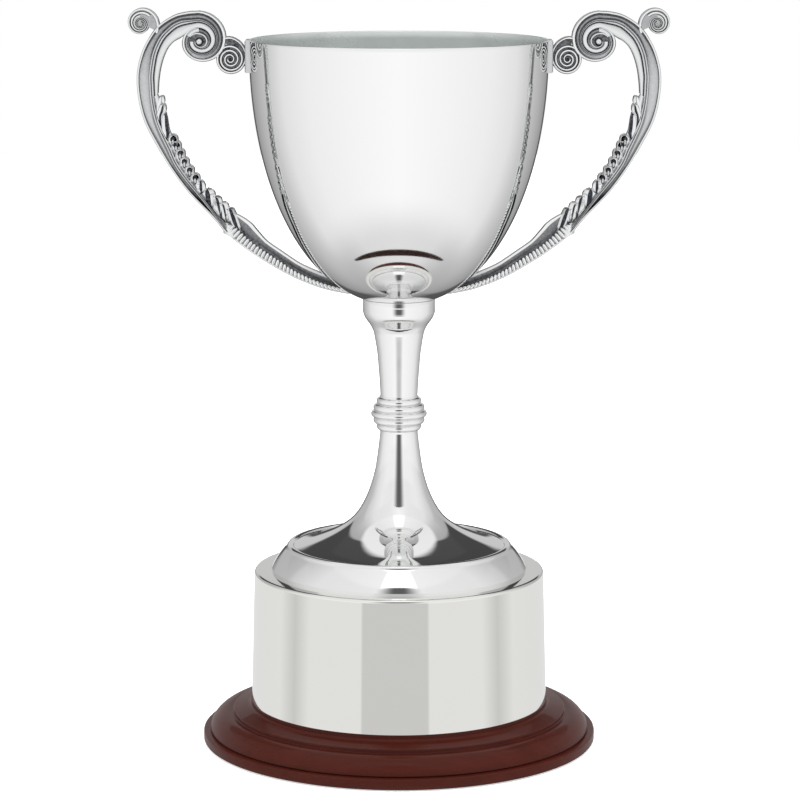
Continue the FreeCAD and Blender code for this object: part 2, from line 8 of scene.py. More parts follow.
import logging
import math
from dataclasses import dataclass, field
from enum import Enum

import bmesh
import bpy
import numpy as np
from mathutils import Matrix, Vector


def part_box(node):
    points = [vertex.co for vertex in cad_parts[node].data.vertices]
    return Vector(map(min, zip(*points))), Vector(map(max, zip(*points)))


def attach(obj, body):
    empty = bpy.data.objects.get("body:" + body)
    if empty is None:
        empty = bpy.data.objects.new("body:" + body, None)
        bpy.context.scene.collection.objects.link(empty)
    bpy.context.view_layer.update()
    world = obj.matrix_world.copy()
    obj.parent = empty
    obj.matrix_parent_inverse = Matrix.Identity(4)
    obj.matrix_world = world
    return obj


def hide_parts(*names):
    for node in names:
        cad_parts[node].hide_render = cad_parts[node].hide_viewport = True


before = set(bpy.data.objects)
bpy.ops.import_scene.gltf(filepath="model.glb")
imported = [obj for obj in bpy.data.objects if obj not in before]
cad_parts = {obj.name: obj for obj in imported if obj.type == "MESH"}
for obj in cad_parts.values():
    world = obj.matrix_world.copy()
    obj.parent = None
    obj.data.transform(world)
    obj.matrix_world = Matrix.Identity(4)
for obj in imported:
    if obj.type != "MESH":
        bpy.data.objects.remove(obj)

LOG = logging.getLogger("cup")
MM = 0.001
MERGE = 0.002 * MM
NARROWEST = 0.02 * MM
QUARTER, HALF, FULL = 90.0, 180.0, 360.0
# Vertex layer of the casting's darkening: tarnish together with painted shade in hollows and at strand
# edges.
SHADE_AND_TARNISH = "shade_and_tarnish"
BODY = "root"

Point = tuple[float, float]
Line = list[Point]
Shape = tuple[Point, ...]
Row = tuple[float, ...]
Colour = tuple[float, float, float, float]
Mesh = bmesh.types.BMesh
Piece = bpy.types.Object
Paint = bpy.types.Material
Socket = bpy.types.NodeSocket


class Side(Enum):
    """Which way a handle reaches along X."""

    RIGHT = 1
    LEFT = -1


class Relief(Enum):
    """Sections of the casting's strands.

    Each point is a share across the strand, a share of its half depth, and how dark it is
    made there: tarnish together with painted shade in the hollows and at the strand's edges.
    """

    BEAD = ((0, .78, .2), (.1, .92, 0), (.3, 1, 0), (.55, .99, 0), (.8, .9, .1), (.93, .76, .5), (1, .6, .8))
    COVE = (
        (0, .84, .85), (.1, .74, .75), (.25, .66, .72), (.4, .62, .7), (.55, .61, .7),
        (.7, .64, .7), (.85, .72, .75), (1, .84, .95),
    )
    RIDGE = (
        (0, .76, .7), (.08, .92, .1), (.2, 1, 0), (.34, .95, .1), (.44, .85, .8), (.54, .85, .8),
        (.66, .95, .1), (.8, 1, 0), (.92, .92, .1), (1, .76, .7),
    )
    BAND = (
        (0, .7, .8), (.1, .86, .35), (.3, .96, .16), (.55, 1, .12), (.8, .96, .16), (.93, .86, .3),
        (1, .72, .5),
    )
    HOLLOW = (
        (0, .8, .1), (.07, .95, 0), (.15, 1, 0), (.24, .9, .1), (.3, .66, .9), (.45, .58, 1),
        (.6, .58, 1), (.76, .66, .9), (.82, .88, .1), (.9, .97, 0), (1, .8, .1),
    )
    TROUGH = (
        (0, .8, .4), (.04, .97, 0), (.08, 1, 0), (.12, .9, .5), (.16, .76, .85), (.22, .72, .8),
        (.6, .7, .78), (.82, .7, .7), (.88, .71, .66), (.92, .8, .85), (.94, .97, .1), (.97, 1, 0),
        (1, .6, .9),
    )
    CORD = ((0, .7, .6), (.2, .92, .1), (.4, 1, 0), (.6, 1, 0), (.8, .92, .1), (1, .7, .6))
    GROUND = ((0, .88, .5), (.08, 1, .2), (.5, 1, .12), (.92, 1, .2), (1, .88, .5))
    FLUTE = (
        (0, .7, .9), (.06, .88, .2), (.25, .98, 0), (.5, 1, 0), (.75, .98, 0), (.94, .88, .2), (1, .7, .9),
    )
    FLAT = ((0, .94, .9), (.08, 1, .9), (.5, 1, .9), (.92, 1, .9), (1, .94, .9))


# Lines
def along(points: Line, count: int) -> Line:
    """Even steps along the smooth line through some points.

    Args:
        points: places that the line passes through.
        count: how many places to give back, both ends with them.

    Returns:
        The places, evenly spaced by length.
    """
    fine = 12
    known = np.array([points[0], *points, points[-1]], float)
    steps = np.linspace(0, 1, fine, endpoint=False)[:, None]
    runs = []
    for a, b, c, d in zip(known, known[1:], known[2:], known[3:]):
        bend = 2 * b + (c - a) * steps + (2 * a - 5 * b + 4 * c - d) * steps ** 2
        runs.append((bend + (3 * b - a - 3 * c + d) * steps ** 3) / 2)
    line = np.vstack([*runs, known[-1]])
    length = np.concatenate([[0], np.cumsum(np.linalg.norm(np.diff(line, axis=0), axis=1))])
    wanted = np.linspace(0, length[-1], count)
    return list(zip(*(np.interp(wanted, length, line[:, axis]).tolist() for axis in (0, 1))))


def shifted(points: Line, left: float | np.ndarray) -> Line:
    """A line moved to the left of the way it runs.

    Args:
        points: places along the line.
        left: how far, for the whole line or for each place.

    Returns:
        The moved places.
    """
    known = np.array(points, float)
    heading = np.gradient(known, axis=0)
    heading /= np.linalg.norm(heading, axis=1)[:, None]
    normal = np.stack([-heading[:, 1], heading[:, 0]], axis=1)
    moved = known + normal * np.broadcast_to(left, len(points))[:, None]
    return [tuple(place) for place in moved.tolist()]


def arc_points(centre: Point, radius: float, start: float, end: float, count: int) -> Line:
    """Places round part of a circle.

    Args:
        centre: the circle's middle.
        radius: its radius.
        start: first angle in degrees.
        end: last angle in degrees.
        count: how many places.

    Returns:
        The places, both ends with them.
    """
    turns = np.radians(np.linspace(start, end, count))
    return [(centre[0] + radius * math.cos(t), centre[1] + radius * math.sin(t)) for t in turns]


def three_point_arc(a: Point, middle: Point, b: Point, count: int) -> Line:
    """Places on the circle through three places.

    Args:
        a: where the arc starts.
        middle: a place on its way.
        b: where it ends.
        count: how many places.

    Returns:
        The places, both ends with them.
    """
    (ax, az), (mx, mz), (bx, bz) = a, middle, b
    twice = 2 * (ax * (mz - bz) + mx * (bz - az) + bx * (az - mz))
    squares = [x * x + z * z for x, z in (a, middle, b)]
    cx = (squares[0] * (mz - bz) + squares[1] * (bz - az) + squares[2] * (az - mz)) / twice
    cz = (squares[0] * (bx - mx) + squares[1] * (ax - bx) + squares[2] * (mx - ax)) / twice
    first, way, last = (math.atan2(z - cz, x - cx) for x, z in (a, middle, b))
    sweep = (last - first) % math.tau
    if (way - first) % math.tau > sweep:
        sweep -= math.tau
    start, end = math.degrees(first), math.degrees(first + sweep)
    return arc_points((cx, cz), math.hypot(ax - cx, az - cz), start, end, count)


def read_off(table: Shape, wanted: np.ndarray) -> list[float]:
    """Values of a table at some places, in between its own as well."""
    return np.interp(wanted, *zip(*table)).tolist()


def extent(box: tuple[Vector, Vector]) -> tuple[float, float, float]:
    """The widest X, the lowest Z and the highest Z of a box, in millimetres."""
    low, high = box
    return high.x / MM, low.z / MM, high.z / MM


# Meshes
def object_of(bm: Mesh, name: str, sharp: float = 40.0) -> Piece:
    """A finished, smooth-shaded object.

    Args:
        bm: the mesh, which is freed here.
        name: the piece's name.
        sharp: edges that fold by more than these degrees stay crisp.

    Returns:
        The new object.
    """
    mesh = bpy.data.meshes.new(name)
    bm.to_mesh(mesh)
    bm.free()
    mesh.shade_smooth()
    mesh.set_sharp_from_angle(angle=math.radians(sharp))
    piece = bpy.data.objects.new(name, mesh)
    bpy.context.scene.collection.objects.link(piece)
    return piece


def spun(profile: Line, segments: int) -> Mesh:
    """A turned form: a profile of radius and height spun round the axis.

    Args:
        profile: the outline, open if both its ends are on the axis, else closed here.
        segments: steps round the axis.

    Returns:
        The closed mesh, in metres.
    """
    bm = bmesh.new()
    verts = [bm.verts.new((radius * MM, 0, height * MM)) for radius, height in profile]
    for a, b in zip(verts, verts[1:]):
        bm.edges.new((a, b))
    if verts[0].co.x > MERGE:
        bm.edges.new((verts[-1], verts[0]))
    bmesh.ops.spin(
        bm, geom=[*bm.verts, *bm.edges], cent=(0, 0, 0), axis=(0, 0, 1), angle=math.tau,
        steps=segments, use_merge=True,
    )
    bmesh.ops.remove_doubles(bm, verts=bm.verts, dist=MERGE)
    bmesh.ops.recalc_face_normals(bm, faces=bm.faces)
    return bm


def station(a: Point, b: Point, depth: float) -> Matrix:
    """The place of a unit section between a strand's two sides.

    Args:
        a: the place of the section's share 0.
        b: the place of its share 1.
        depth: the strand's half depth.

    Returns:
        The matrix from the section to its place.
    """
    across = Vector((b[0] - a[0], 0, b[1] - a[1]))
    across = across if across.length > NARROWEST else Vector((NARROWEST, 0, 0))
    way = Vector((-across.z, 0, across.x)).normalized()
    columns = Matrix((across, (0, depth, 0), way)).transposed().to_4x4()
    return Matrix.Translation((a[0], 0, a[1])) @ columns


def strand(
    side_a: Line, side_b: Line, relief: Relief, depth: float, shade_and_tarnish_weight: float | list[float] = 1.0
) -> Mesh:
    """A moulded strand of the casting, swept between its two sides.

    Args:
        side_a: places along the side of share 0.
        side_b: as many places along the other side.
        relief: the section.
        depth: the half depth of the whole strand.
        shade_and_tarnish_weight: how strongly the section's tarnish and painted shade show, everywhere or at
            each place.

    Returns:
        The closed mesh.
    """
    bm = bmesh.new()
    # Tarnish with painted shade, per vertex, which the cast finish turns dark.
    shade_and_tarnish = bm.verts.layers.float.new(SHADE_AND_TARNISH)
    front = [(share, -height, dark) for share, height, dark in relief.value]
    back = [(share, height, dark) for share, height, dark in relief.value[::-1]]
    shades = shade_and_tarnish_weight if isinstance(shade_and_tarnish_weight, list) else [shade_and_tarnish_weight] * len(side_a)
    ring = []
    for share, height, dark in front + back:
        vert = bm.verts.new((share, height, 0))
        vert[shade_and_tarnish] = dark * shades[0]
        ring.append(vert)
    edges = [bm.edges.new((a, b)) for a, b in zip(ring, ring[1:] + ring[:1])]
    place = station(side_a[0], side_b[0], depth)
    bmesh.ops.transform(bm, matrix=place, verts=ring)
    for a, b, before, after in zip(side_a[1:], side_b[1:], shades, shades[1:]):
        grown = bmesh.ops.extrude_edge_only(bm, edges=edges)["geom"]
        edges = [part for part in grown if isinstance(part, bmesh.types.BMEdge)]
        verts = [part for part in grown if isinstance(part, bmesh.types.BMVert)]
        ahead = station(a, b, depth)
        bmesh.ops.transform(bm, matrix=ahead @ place.inverted(), verts=verts)
        for vert in verts:
            vert[shade_and_tarnish] *= after / before
        place = ahead
    bmesh.ops.holes_fill(bm, edges=[edge for edge in bm.edges if edge.is_boundary], sides=0)
    bmesh.ops.recalc_face_normals(bm, faces=bm.faces)
    return bm


def pebble(centre: Point, way: Vector, length: float, width: float, depth: float, dark: float) -> Mesh:
    """A rounded boss or hollow, long one way.

    Args:
        centre: its middle.
        way: the way that it is long, in the handle's plane.
        length: half its length.
        width: half its width.
        depth: its half depth.
        dark: its tarnish and painted shade.

    Returns:
        The closed mesh.
    """
    bm = bmesh.new()
    shade_and_tarnish = bm.verts.layers.float.new(SHADE_AND_TARNISH)
    bmesh.ops.create_uvsphere(bm, u_segments=14, v_segments=10, radius=1)
    for vert in bm.verts:
        vert[shade_and_tarnish] = dark
    columns = Matrix(((way.x, 0, way.y), (0, 1, 0), (-way.y, 0, way.x))).transposed()
    place = Matrix.Translation((centre[0], 0, centre[1])) @ columns.to_4x4()
    bmesh.ops.transform(bm, matrix=place @ Matrix.Diagonal((length, depth, width, 1)), verts=bm.verts)
    return bm


def boss(centre: Point, radius: float, depth: float, dark: float) -> Mesh:
    """A round pebble."""
    return pebble(centre, Vector((1, 0)), radius, radius, depth, dark)


def joined(parts: list[Mesh]) -> Mesh:
    """One mesh of several.

    Args:
        parts: the meshes, which are freed.

    Returns:
        The whole.
    """
    whole = bmesh.new()
    for part in parts:
        mesh = bpy.data.meshes.new("part")
        part.to_mesh(mesh)
        part.free()
        whole.from_mesh(mesh)
        bpy.data.meshes.remove(mesh)
    return whole


# Shader nodes
class Nodes:
    """Builds the nodes of one tree."""

    def __init__(self, tree: bpy.types.NodeTree) -> None:
        """Takes the tree to build in."""
        self.tree = tree

    def put(self, value: float | Colour | Socket, socket: Socket) -> None:
        """Feeds a socket from another one or with a plain value.

        Args:
            value: what goes in.
            socket: where it goes.
        """
        if isinstance(value, Socket):
            self.tree.links.new(value, socket)
        else:
            socket.default_value = value

    def node(self, kind: str, **settings) -> bpy.types.Node:
        """A new node with some of its settings.

        Args:
            kind: the node's type after its usual beginning.
            settings: properties by name, or inputs where the name is no property.

        Returns:
            The node.
        """
        node = self.tree.nodes.new("ShaderNode" + kind)
        for name, value in settings.items():
            if hasattr(node, name):
                setattr(node, name, value)
            else:
                self.put(value, node.inputs[name.replace("_", " ")])
        return node

    def calc(self, operation: str, *values: float | Socket) -> Socket:
        """A sum on numbers or sockets.

        Args:
            operation: Blender's name of the sum.
            values: what goes in.

        Returns:
            The socket with the result.
        """
        node = self.node("Math", operation=operation)
        for socket, value in zip(node.inputs, values):
            self.put(value, socket)
        return node.outputs[0]

    def place(self, kind: str = "Object") -> Socket:
        """The coordinates of each point."""
        return self.node("TexCoord").outputs[kind]

    def split(self, source: Socket) -> list[Socket]:
        """X, Y and Z of a vector."""
        return list(self.node("SeparateXYZ", Vector=source).outputs)

    def noise(self, **settings) -> Socket:
        """Cloudy noise with the node's own settings."""
        return self.node("TexNoise", **settings).outputs["Fac"]

    def between(self, value: Socket, low: float, high: float, **settings) -> Socket:
        """How far a number has got from one value to another.

        Args:
            value: the number.
            low: where the result is 0.
            high: where the result is 1.
            settings: further settings of the node.

        Returns:
            The socket with the result.
        """
        node = self.node("MapRange", Value=value, From_Min=low, From_Max=high, **settings)
        return node.outputs["Result"]

    def heading(self, source: Socket) -> Socket:
        """How far a place lies round from the front, as a share of a half turn.

        Args:
            source: the coordinates of the place.

        Returns:
            The socket with the share.
        """
        x, y, _ = self.split(source)
        angle = self.calc("ARCTAN2", x, self.calc("MULTIPLY", y, -1.0))
        return self.calc("DIVIDE", self.calc("ABSOLUTE", angle), math.pi)

    def greys(self, source: Socket, stops: Shape, full: float = 1.0) -> Socket:
        """A ramp of greys over a number.

        Args:
            source: the number, from 0 to 1.
            stops: each place and its grey.
            full: the place that stands for 1.

        Returns:
            The socket with the grey.
        """
        node = self.node("ValToRGB", Fac=source)
        elements = node.color_ramp.elements
        while len(elements) < len(stops):
            elements.new(0.5)
        for element, (place, _) in zip(elements, stops):
            element.position = place / full
        for element, (_, grey) in zip(elements, stops):
            element.color = (grey, grey, grey, 1)
        return node.outputs["Color"]

    def mixed(self, share: Socket, low: Colour | Socket, high: Colour | Socket) -> Socket:
        """A colour between two.

        Args:
            share: the share of the second colour.
            low: the colour at 0.
            high: the colour at 1.

        Returns:
            The socket with the colour.
        """
        node = self.node("Mix", data_type="RGBA", Factor=share)
        colours = [socket for socket in node.inputs if socket.type == "RGBA"]
        for value, socket in zip((low, high), colours):
            self.put(value, socket)
        return next(socket for socket in node.outputs if socket.type == "RGBA")


class Group(Nodes):
    """A shader node group that is built once and placed in many materials."""

    def __init__(self, name: str, inputs: dict[str, float], **outputs: str) -> None:
        """Makes the group's sockets.

        Args:
            name: the group's name.
            inputs: the default of each number that goes in.
            outputs: the kind of each result, Float or Vector.
        """
        super().__init__(bpy.data.node_groups.new(name, "ShaderNodeTree"))
        sockets = self.tree.interface
        for label, value in inputs.items():
            socket = sockets.new_socket(label, in_out="INPUT", socket_type="NodeSocketFloat")
            socket.default_value = value
        for label, kind in outputs.items():
            sockets.new_socket(label, in_out="OUTPUT", socket_type="NodeSocket" + kind)
        self.given = self.tree.nodes.new("NodeGroupInput").outputs
        self.result = self.tree.nodes.new("NodeGroupOutput").inputs


def haze_group() -> Group:
    """Faint handling haze and polishing marks: a roughness that drifts over the surface.

    Returns:
        The group.
    """
    group = Group("Haze", {"Low": 0.05, "High": 0.12, "Scale": 30.0}, Roughness="Float")
    given = group.given
    cloud = group.noise(Vector=group.place(), Scale=given["Scale"], Detail=3.0, Roughness=0.6)
    rough = group.between(cloud, 0.35, 0.7, To_Min=given["Low"], To_Max=given["High"])
    group.put(rough, group.result["Roughness"])
    return group


def lathe_group() -> Group:
    """Fine lines left by turning: heights that change along the axis and the radius alone.

    Returns:
        The group.
    """
    group = Group("LatheLines", {"Pitch": 1500.0, "Strength": 0.1, "Distance": 0.00002}, Normal="Vector")
    given = group.given
    x, y, z = group.split(group.place())
    radius = group.calc("SQRT", group.calc("ADD", group.calc("POWER", x, 2.0), group.calc("POWER", y, 2.0)))
    run = group.calc("ADD", radius, z)
    lines = group.noise(noise_dimensions="1D", W=run, Scale=given["Pitch"], Detail=2.0)
    bump = group.node("Bump", Height=lines, Strength=given["Strength"], Distance=given["Distance"])
    group.put(bump.outputs["Normal"], group.result["Normal"])
    return group


def hollow_group() -> Group:
    """Tarnish together with painted shade in the hollows of the casting, a little unevenly.

    Returns:
        The group.
    """
    group = Group("Hollows", {"Scale": 900.0}, Mask="Float")
    swing, least = 0.5, 0.75
    # The vertex layer of tarnish and painted shade.
    kept = group.node("Attribute", attribute_name=SHADE_AND_TARNISH).outputs["Fac"]
    cloud = group.noise(Vector=group.place(), Scale=group.given["Scale"], Detail=3.0)
    uneven = group.calc("ADD", group.calc("MULTIPLY", cloud, swing), least)
    mask = group.calc("MINIMUM", group.calc("MULTIPLY", kept, uneven), 1.0)
    group.put(mask, group.result["Mask"])
    return group


def grain_group() -> Group:
    """Straight mahogany grain: a broad ribbon figure with fine streaks.

    Returns:
        The group.
    """
    group = Group("MahoganyGrain", {"Figure": 14.0, "Streaks": 160.0}, Figure="Float")
    long_way = group.node("Mapping", Vector=group.place(), Scale=(0.06, 1.0, 1.0)).outputs["Vector"]
    layers = []
    for label, detail, share in (("Figure", 3.0, 0.55), ("Streaks", 4.0, 0.45)):
        settings = {"Detail": detail, "Roughness": 0.6, "Distortion": 0.3}
        cloud = group.noise(Vector=long_way, Scale=group.given[label], **settings)
        layers.append(group.calc("MULTIPLY", cloud, share))
    group.put(group.calc("ADD", *layers), group.result["Figure"])
    return group


def nap_group() -> Group:
    """Short felt fibres: a mottled height and shade.

    Returns:
        The group.
    """
    group = Group("FeltNap", {"Scale": 2500.0}, Shade="Float", Normal="Vector")
    fibre = group.noise(Vector=group.place(), Scale=group.given["Scale"], Detail=4.0, Roughness=0.7)
    bump = group.node("Bump", Height=fibre, Strength=0.6, Distance=0.0002)
    group.put(fibre, group.result["Shade"])
    group.put(bump.outputs["Normal"], group.result["Normal"])
    return group


@dataclass
class Groups:
    """The node groups that the finishes share."""

    haze: Group = field(default_factory=haze_group)
    lathe: Group = field(default_factory=lathe_group)
    hollow: Group = field(default_factory=hollow_group)
    grain: Group = field(default_factory=grain_group)
    nap: Group = field(default_factory=nap_group)


class Coat(Nodes):
    """A material with one Principled shader."""

    def __init__(self, name: str) -> None:
        """Makes the material and finds its shader.

        Args:
            name: the finish's name.
        """
        self.data = bpy.data.materials.new(name)
        self.data.use_nodes = True
        super().__init__(self.data.node_tree)
        self.shader = next(node for node in self.tree.nodes if node.type == "BSDF_PRINCIPLED")

    def set(self, **values: float | Colour | Socket) -> None:
        """Feeds the shader's own sockets, with _ for a space in a name."""
        for name, value in values.items():
            self.put(value, self.shader.inputs[name.replace("_", " ")])

    def use(self, group: Group, **values: float) -> bpy.types.NodeOutputs:
        """The results of a shared group, placed with this material's own values."""
        return self.node("Group", node_tree=group.tree, **values).outputs

    def slope_mask(self, operation: str, limit: float | Socket) -> Socket:
        """1 where the ray that meets the piece falls LESS_THAN or GREATER_THAN a limit, else 0."""
        falling = self.split(self.node("NewGeometry").outputs["Incoming"])[2]
        return self.calc(operation, falling, limit)


# Finishes
@dataclass(frozen=True)
class Finish:
    """A finish that makes a material of its own name."""

    name: str

    def made(self, groups: Groups) -> Paint:
        """The material of this finish.

        Args:
            groups: the shared node groups.

        Returns:
            The material.
        """
        coat = Coat(self.name)
        self.paint(coat, groups)
        return coat.data

    def paint(self, coat: Coat, groups: Groups) -> None:
        """Sets up the shader, which each finish does its own way."""
        raise NotImplementedError


@dataclass(frozen=True)
class PlateFinish(Finish):
    """Polished nickel plate on a turned piece."""

    colour: Colour = (0.86, 0.865, 0.86, 1)
    rough_low: float = 0.03
    rough_high: float = 0.07
    line_strength: float = 0.02
    metallic: float = 1.0

    def paint(self, coat: Coat, groups: Groups) -> None:
        """Gives the plate its haze and the lines of its turning.

        Args:
            coat: the material.
            groups: the shared node groups.
        """
        rough = coat.use(groups.haze, Low=self.rough_low, High=self.rough_high)["Roughness"]
        lines = coat.use(groups.lathe, Strength=self.line_strength)["Normal"]
        coat.set(Base_Color=self.colour, Metallic=self.metallic, Roughness=rough, Normal=lines)


@dataclass(frozen=True)
class CastFinish(Finish):
    """Plated relief casting, dark in its hollows with tarnish and painted shade."""

    colour: Colour = (0.84, 0.845, 0.85, 1)
    dark: Colour = (0.030, 0.033, 0.042, 1)

    def paint(self, coat: Coat, groups: Groups) -> None:
        """Gives the casting its haze, and the tarnish and painted shade of its hollows.

        Args:
            coat: the material.
            groups: the shared node groups.
        """
        rough = coat.use(groups.haze, Low=0.10, High=0.2, Scale=400.0)["Roughness"]
        # Painted shade and tarnish: the casting turns dark where the mask of the hollows is high.
        colour = coat.mixed(coat.use(groups.hollow)["Mask"], self.colour, self.dark)
        coat.set(Base_Color=colour, Metallic=1.0, Roughness=rough)


@dataclass(frozen=True)
class WoodFinish(Finish):
    """Dark red-brown mahogany under clear gloss lacquer."""

    light: Colour = (0.070, 0.011, 0.006, 1)
    dark: Colour = (0.016, 0.003, 0.002, 1)

    def paint(self, coat: Coat, groups: Groups) -> None:
        """Gives the wood its grain and its lacquer."""
        colour = coat.mixed(coat.use(groups.grain)["Figure"], self.dark, self.light)
        coat.set(
            Base_Color=colour, Roughness=0.4, Specular_IOR_Level=0.05, Coat_Weight=0.16,
            Coat_Roughness=0.04, Coat_IOR=1.45,
        )


@dataclass(frozen=True)
class FeltFinish(Finish):
    """Matt green baize."""

    low: Colour = (0.012, 0.05, 0.025, 1)
    high: Colour = (0.03, 0.12, 0.06, 1)

    def paint(self, coat: Coat, groups: Groups) -> None:
        """Gives the baize its nap.

        Args:
            coat: the material.
            groups: the shared node groups.
        """
        nap = coat.use(groups.nap)
        coat.set(Base_Color=coat.mixed(nap["Shade"], self.low, self.high), Normal=nap["Normal"])
        coat.set(Roughness=0.95, Sheen_Weight=0.6, Sheen_Roughness=0.6)


@dataclass(frozen=True)
class ZincFinish(Finish):
    """Zinc plate on the hidden fixings."""

    colour: Colour = (0.55, 0.57, 0.6, 1)

    def paint(self, coat: Coat, groups: Groups) -> None:
        """Gives the zinc its haze."""
        rough = coat.use(groups.haze, Low=0.25, High=0.45, Scale=300.0)["Roughness"]
        coat.set(Base_Color=self.colour, Metallic=1.0, Roughness=rough)


def dress(piece: Piece, *materials: Paint) -> None:
    """Gives a piece its materials, the first on every face that names no other.

    Args:
        piece: the piece, new or of the frame.
        materials: its materials in the order of their numbers.
    """
    if len(piece.data.materials):
        piece.data.materials.clear()
    for material in materials:
        piece.data.materials.append(material)
    LOG.info("%s: %d faces", piece.name, len(piece.data.polygons))


def stand_for(piece: Piece, node: str, slot: str, *materials: Paint) -> None:
    """Dresses a piece and makes it ride and replace its node.

    Args:
        piece: the piece.
        node: the node of the frame that it replaces.
        slot: not used.
        materials: its materials.
    """
    dress(piece, *materials)
    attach(piece, BODY)
    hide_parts(node)


# Turned pieces
@dataclass
class Bowl:
    """The spun bowl: a thin wall with a rolled lip, bright outside and satin inside."""

    power: float = 2.15
    wall: float = 1.0
    steps: int = 72
    lip_steps: int = 8
    level: float = 0.9
    segments: int = 192

    def __post_init__(self) -> None:
        """Takes the radius and the heights from the frame."""
        self.radius, self.bottom, self.rim = extent(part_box("bowl"))

    def height_at(self, radius: float) -> float:
        """Height of the outside at a radius."""
        share = 1 - (radius / self.radius) ** self.power
        return self.rim - (self.rim - self.bottom) * share ** (1 / self.power)

    def outline(self) -> Line:
        """The outside.

        Returns:
            Places from the axis to just under the lip.
        """
        turns = [math.pi / 2 * i / self.steps for i in range(self.steps)]
        radii = [self.radius * math.sin(turn) ** (2 / self.power) for turn in turns]
        points = [(radius, self.height_at(radius)) for radius in radii]
        return points + [(self.radius, self.rim - self.wall / 2)]

    def build(self, outside: Paint, inside: Paint) -> None:
        """Makes the bowl and dresses it.

        Args:
            outside: the bright plate.
            inside: the satin plate.
        """
        outer = self.outline()
        inner = shifted(outer, self.wall)
        inner[0] = (0.0, self.bottom + self.wall)
        inner[-1] = (self.radius - self.wall, outer[-1][1])
        middle = (self.radius - self.wall / 2, outer[-1][1])
        lip = arc_points(middle, self.wall / 2, 0, HALF, self.lip_steps + 1)
        bm = spun(outer[:-1] + lip + inner[-2::-1], self.segments)
        for face in bm.faces:
            centre = face.calc_center_median()
            outward = face.normal.x * centre.x + face.normal.y * centre.y
            face.material_index = int(outward < 0 or face.normal.z > self.level)
        stand_for(object_of(bm, "bowl_shell"), "bowl", "bowl_metal", outside, inside)


@dataclass
class Stem:
    """Tapering neck with a rounded collar that carries the bowl."""

    neck: Shape = ((8.9, 0), (9.3, 7.5), (9.8, 14), (10.3, 20), (11, 25), (12.05, 30.8))
    collar: Shape = (
        (12.05, 30.8), (13.3, 33.6), (14.5, 35.4), (15.8, 37.2), (16.7, 38.9), (17.2, 40.6),
    )
    bore: float = 3.4
    seat_gap: float = 0.05
    rounding: float = 0.5
    softening: Point = (0.15, 0.1)
    neck_steps: int = 30
    collar_steps: int = 16
    seat_steps: int = 8
    segments: int = 128

    def build(self, bowl: Bowl, metal: Paint) -> None:
        """Makes the stem up to the bowl that it carries.

        Args:
            bowl: the bowl.
            metal: the stem's plate.
        """
        foot = extent(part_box("stem"))[1]
        neck = [(radius, foot + height) for radius, height in self.neck]
        collar = [(radius, foot + height) for radius, height in self.collar]
        points = along(neck, self.neck_steps)[:-1] + along(collar, self.collar_steps)
        reach = points[-1][0]
        lip = bowl.height_at(reach) - self.seat_gap
        points += [(reach, lip - self.rounding), (reach - self.softening[0], lip - self.softening[1])]
        seat = np.linspace(reach - self.rounding, self.bore, self.seat_steps).tolist()
        points += [(radius, bowl.height_at(radius) - self.seat_gap) for radius in seat]
        points.append((self.bore, foot))
        stand_for(object_of(spun(points, self.segments), "stem_neck"), "stem", "stem_metal", metal)


@dataclass
class Knop:
    """Ring of turned beads between the neck and the foot."""

    crests: Row = (10.7, 12.3, 13.4, 12.3, 10.7)
    pitch: float = 3.2
    groove: float = 0.7
    end: float = 9.0
    end_groove: float = 9.2
    bore: float = 3.4
    bead_steps: int = 10
    segments: int = 128

    def build(self, metal: Paint) -> None:
        """Makes the beads.

        Args:
            metal: the knop's plate.
        """
        _, base, top = extent(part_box("knop"))
        start = (base + top) / 2 - self.pitch * len(self.crests) / 2
        grooves = [min(a, b) - self.groove for a, b in zip(self.crests, self.crests[1:])]
        grooves = [self.end_groove, *grooves, self.end_groove]
        marks = [(radius, start + self.pitch * i) for i, radius in enumerate(grooves)]
        points = [(self.bore, base), (self.end, base), marks[0]]
        for crest, before, after in zip(self.crests, marks, marks[1:]):
            middle = (crest, before[1] + self.pitch / 2)
            points += three_point_arc(before, middle, after, self.bead_steps)[1:]
        points += [(self.end, top), (self.bore, top)]
        piece = object_of(spun(points, self.segments), "knop_beads", sharp=60)
        stand_for(piece, "knop", "stem_metal", metal)


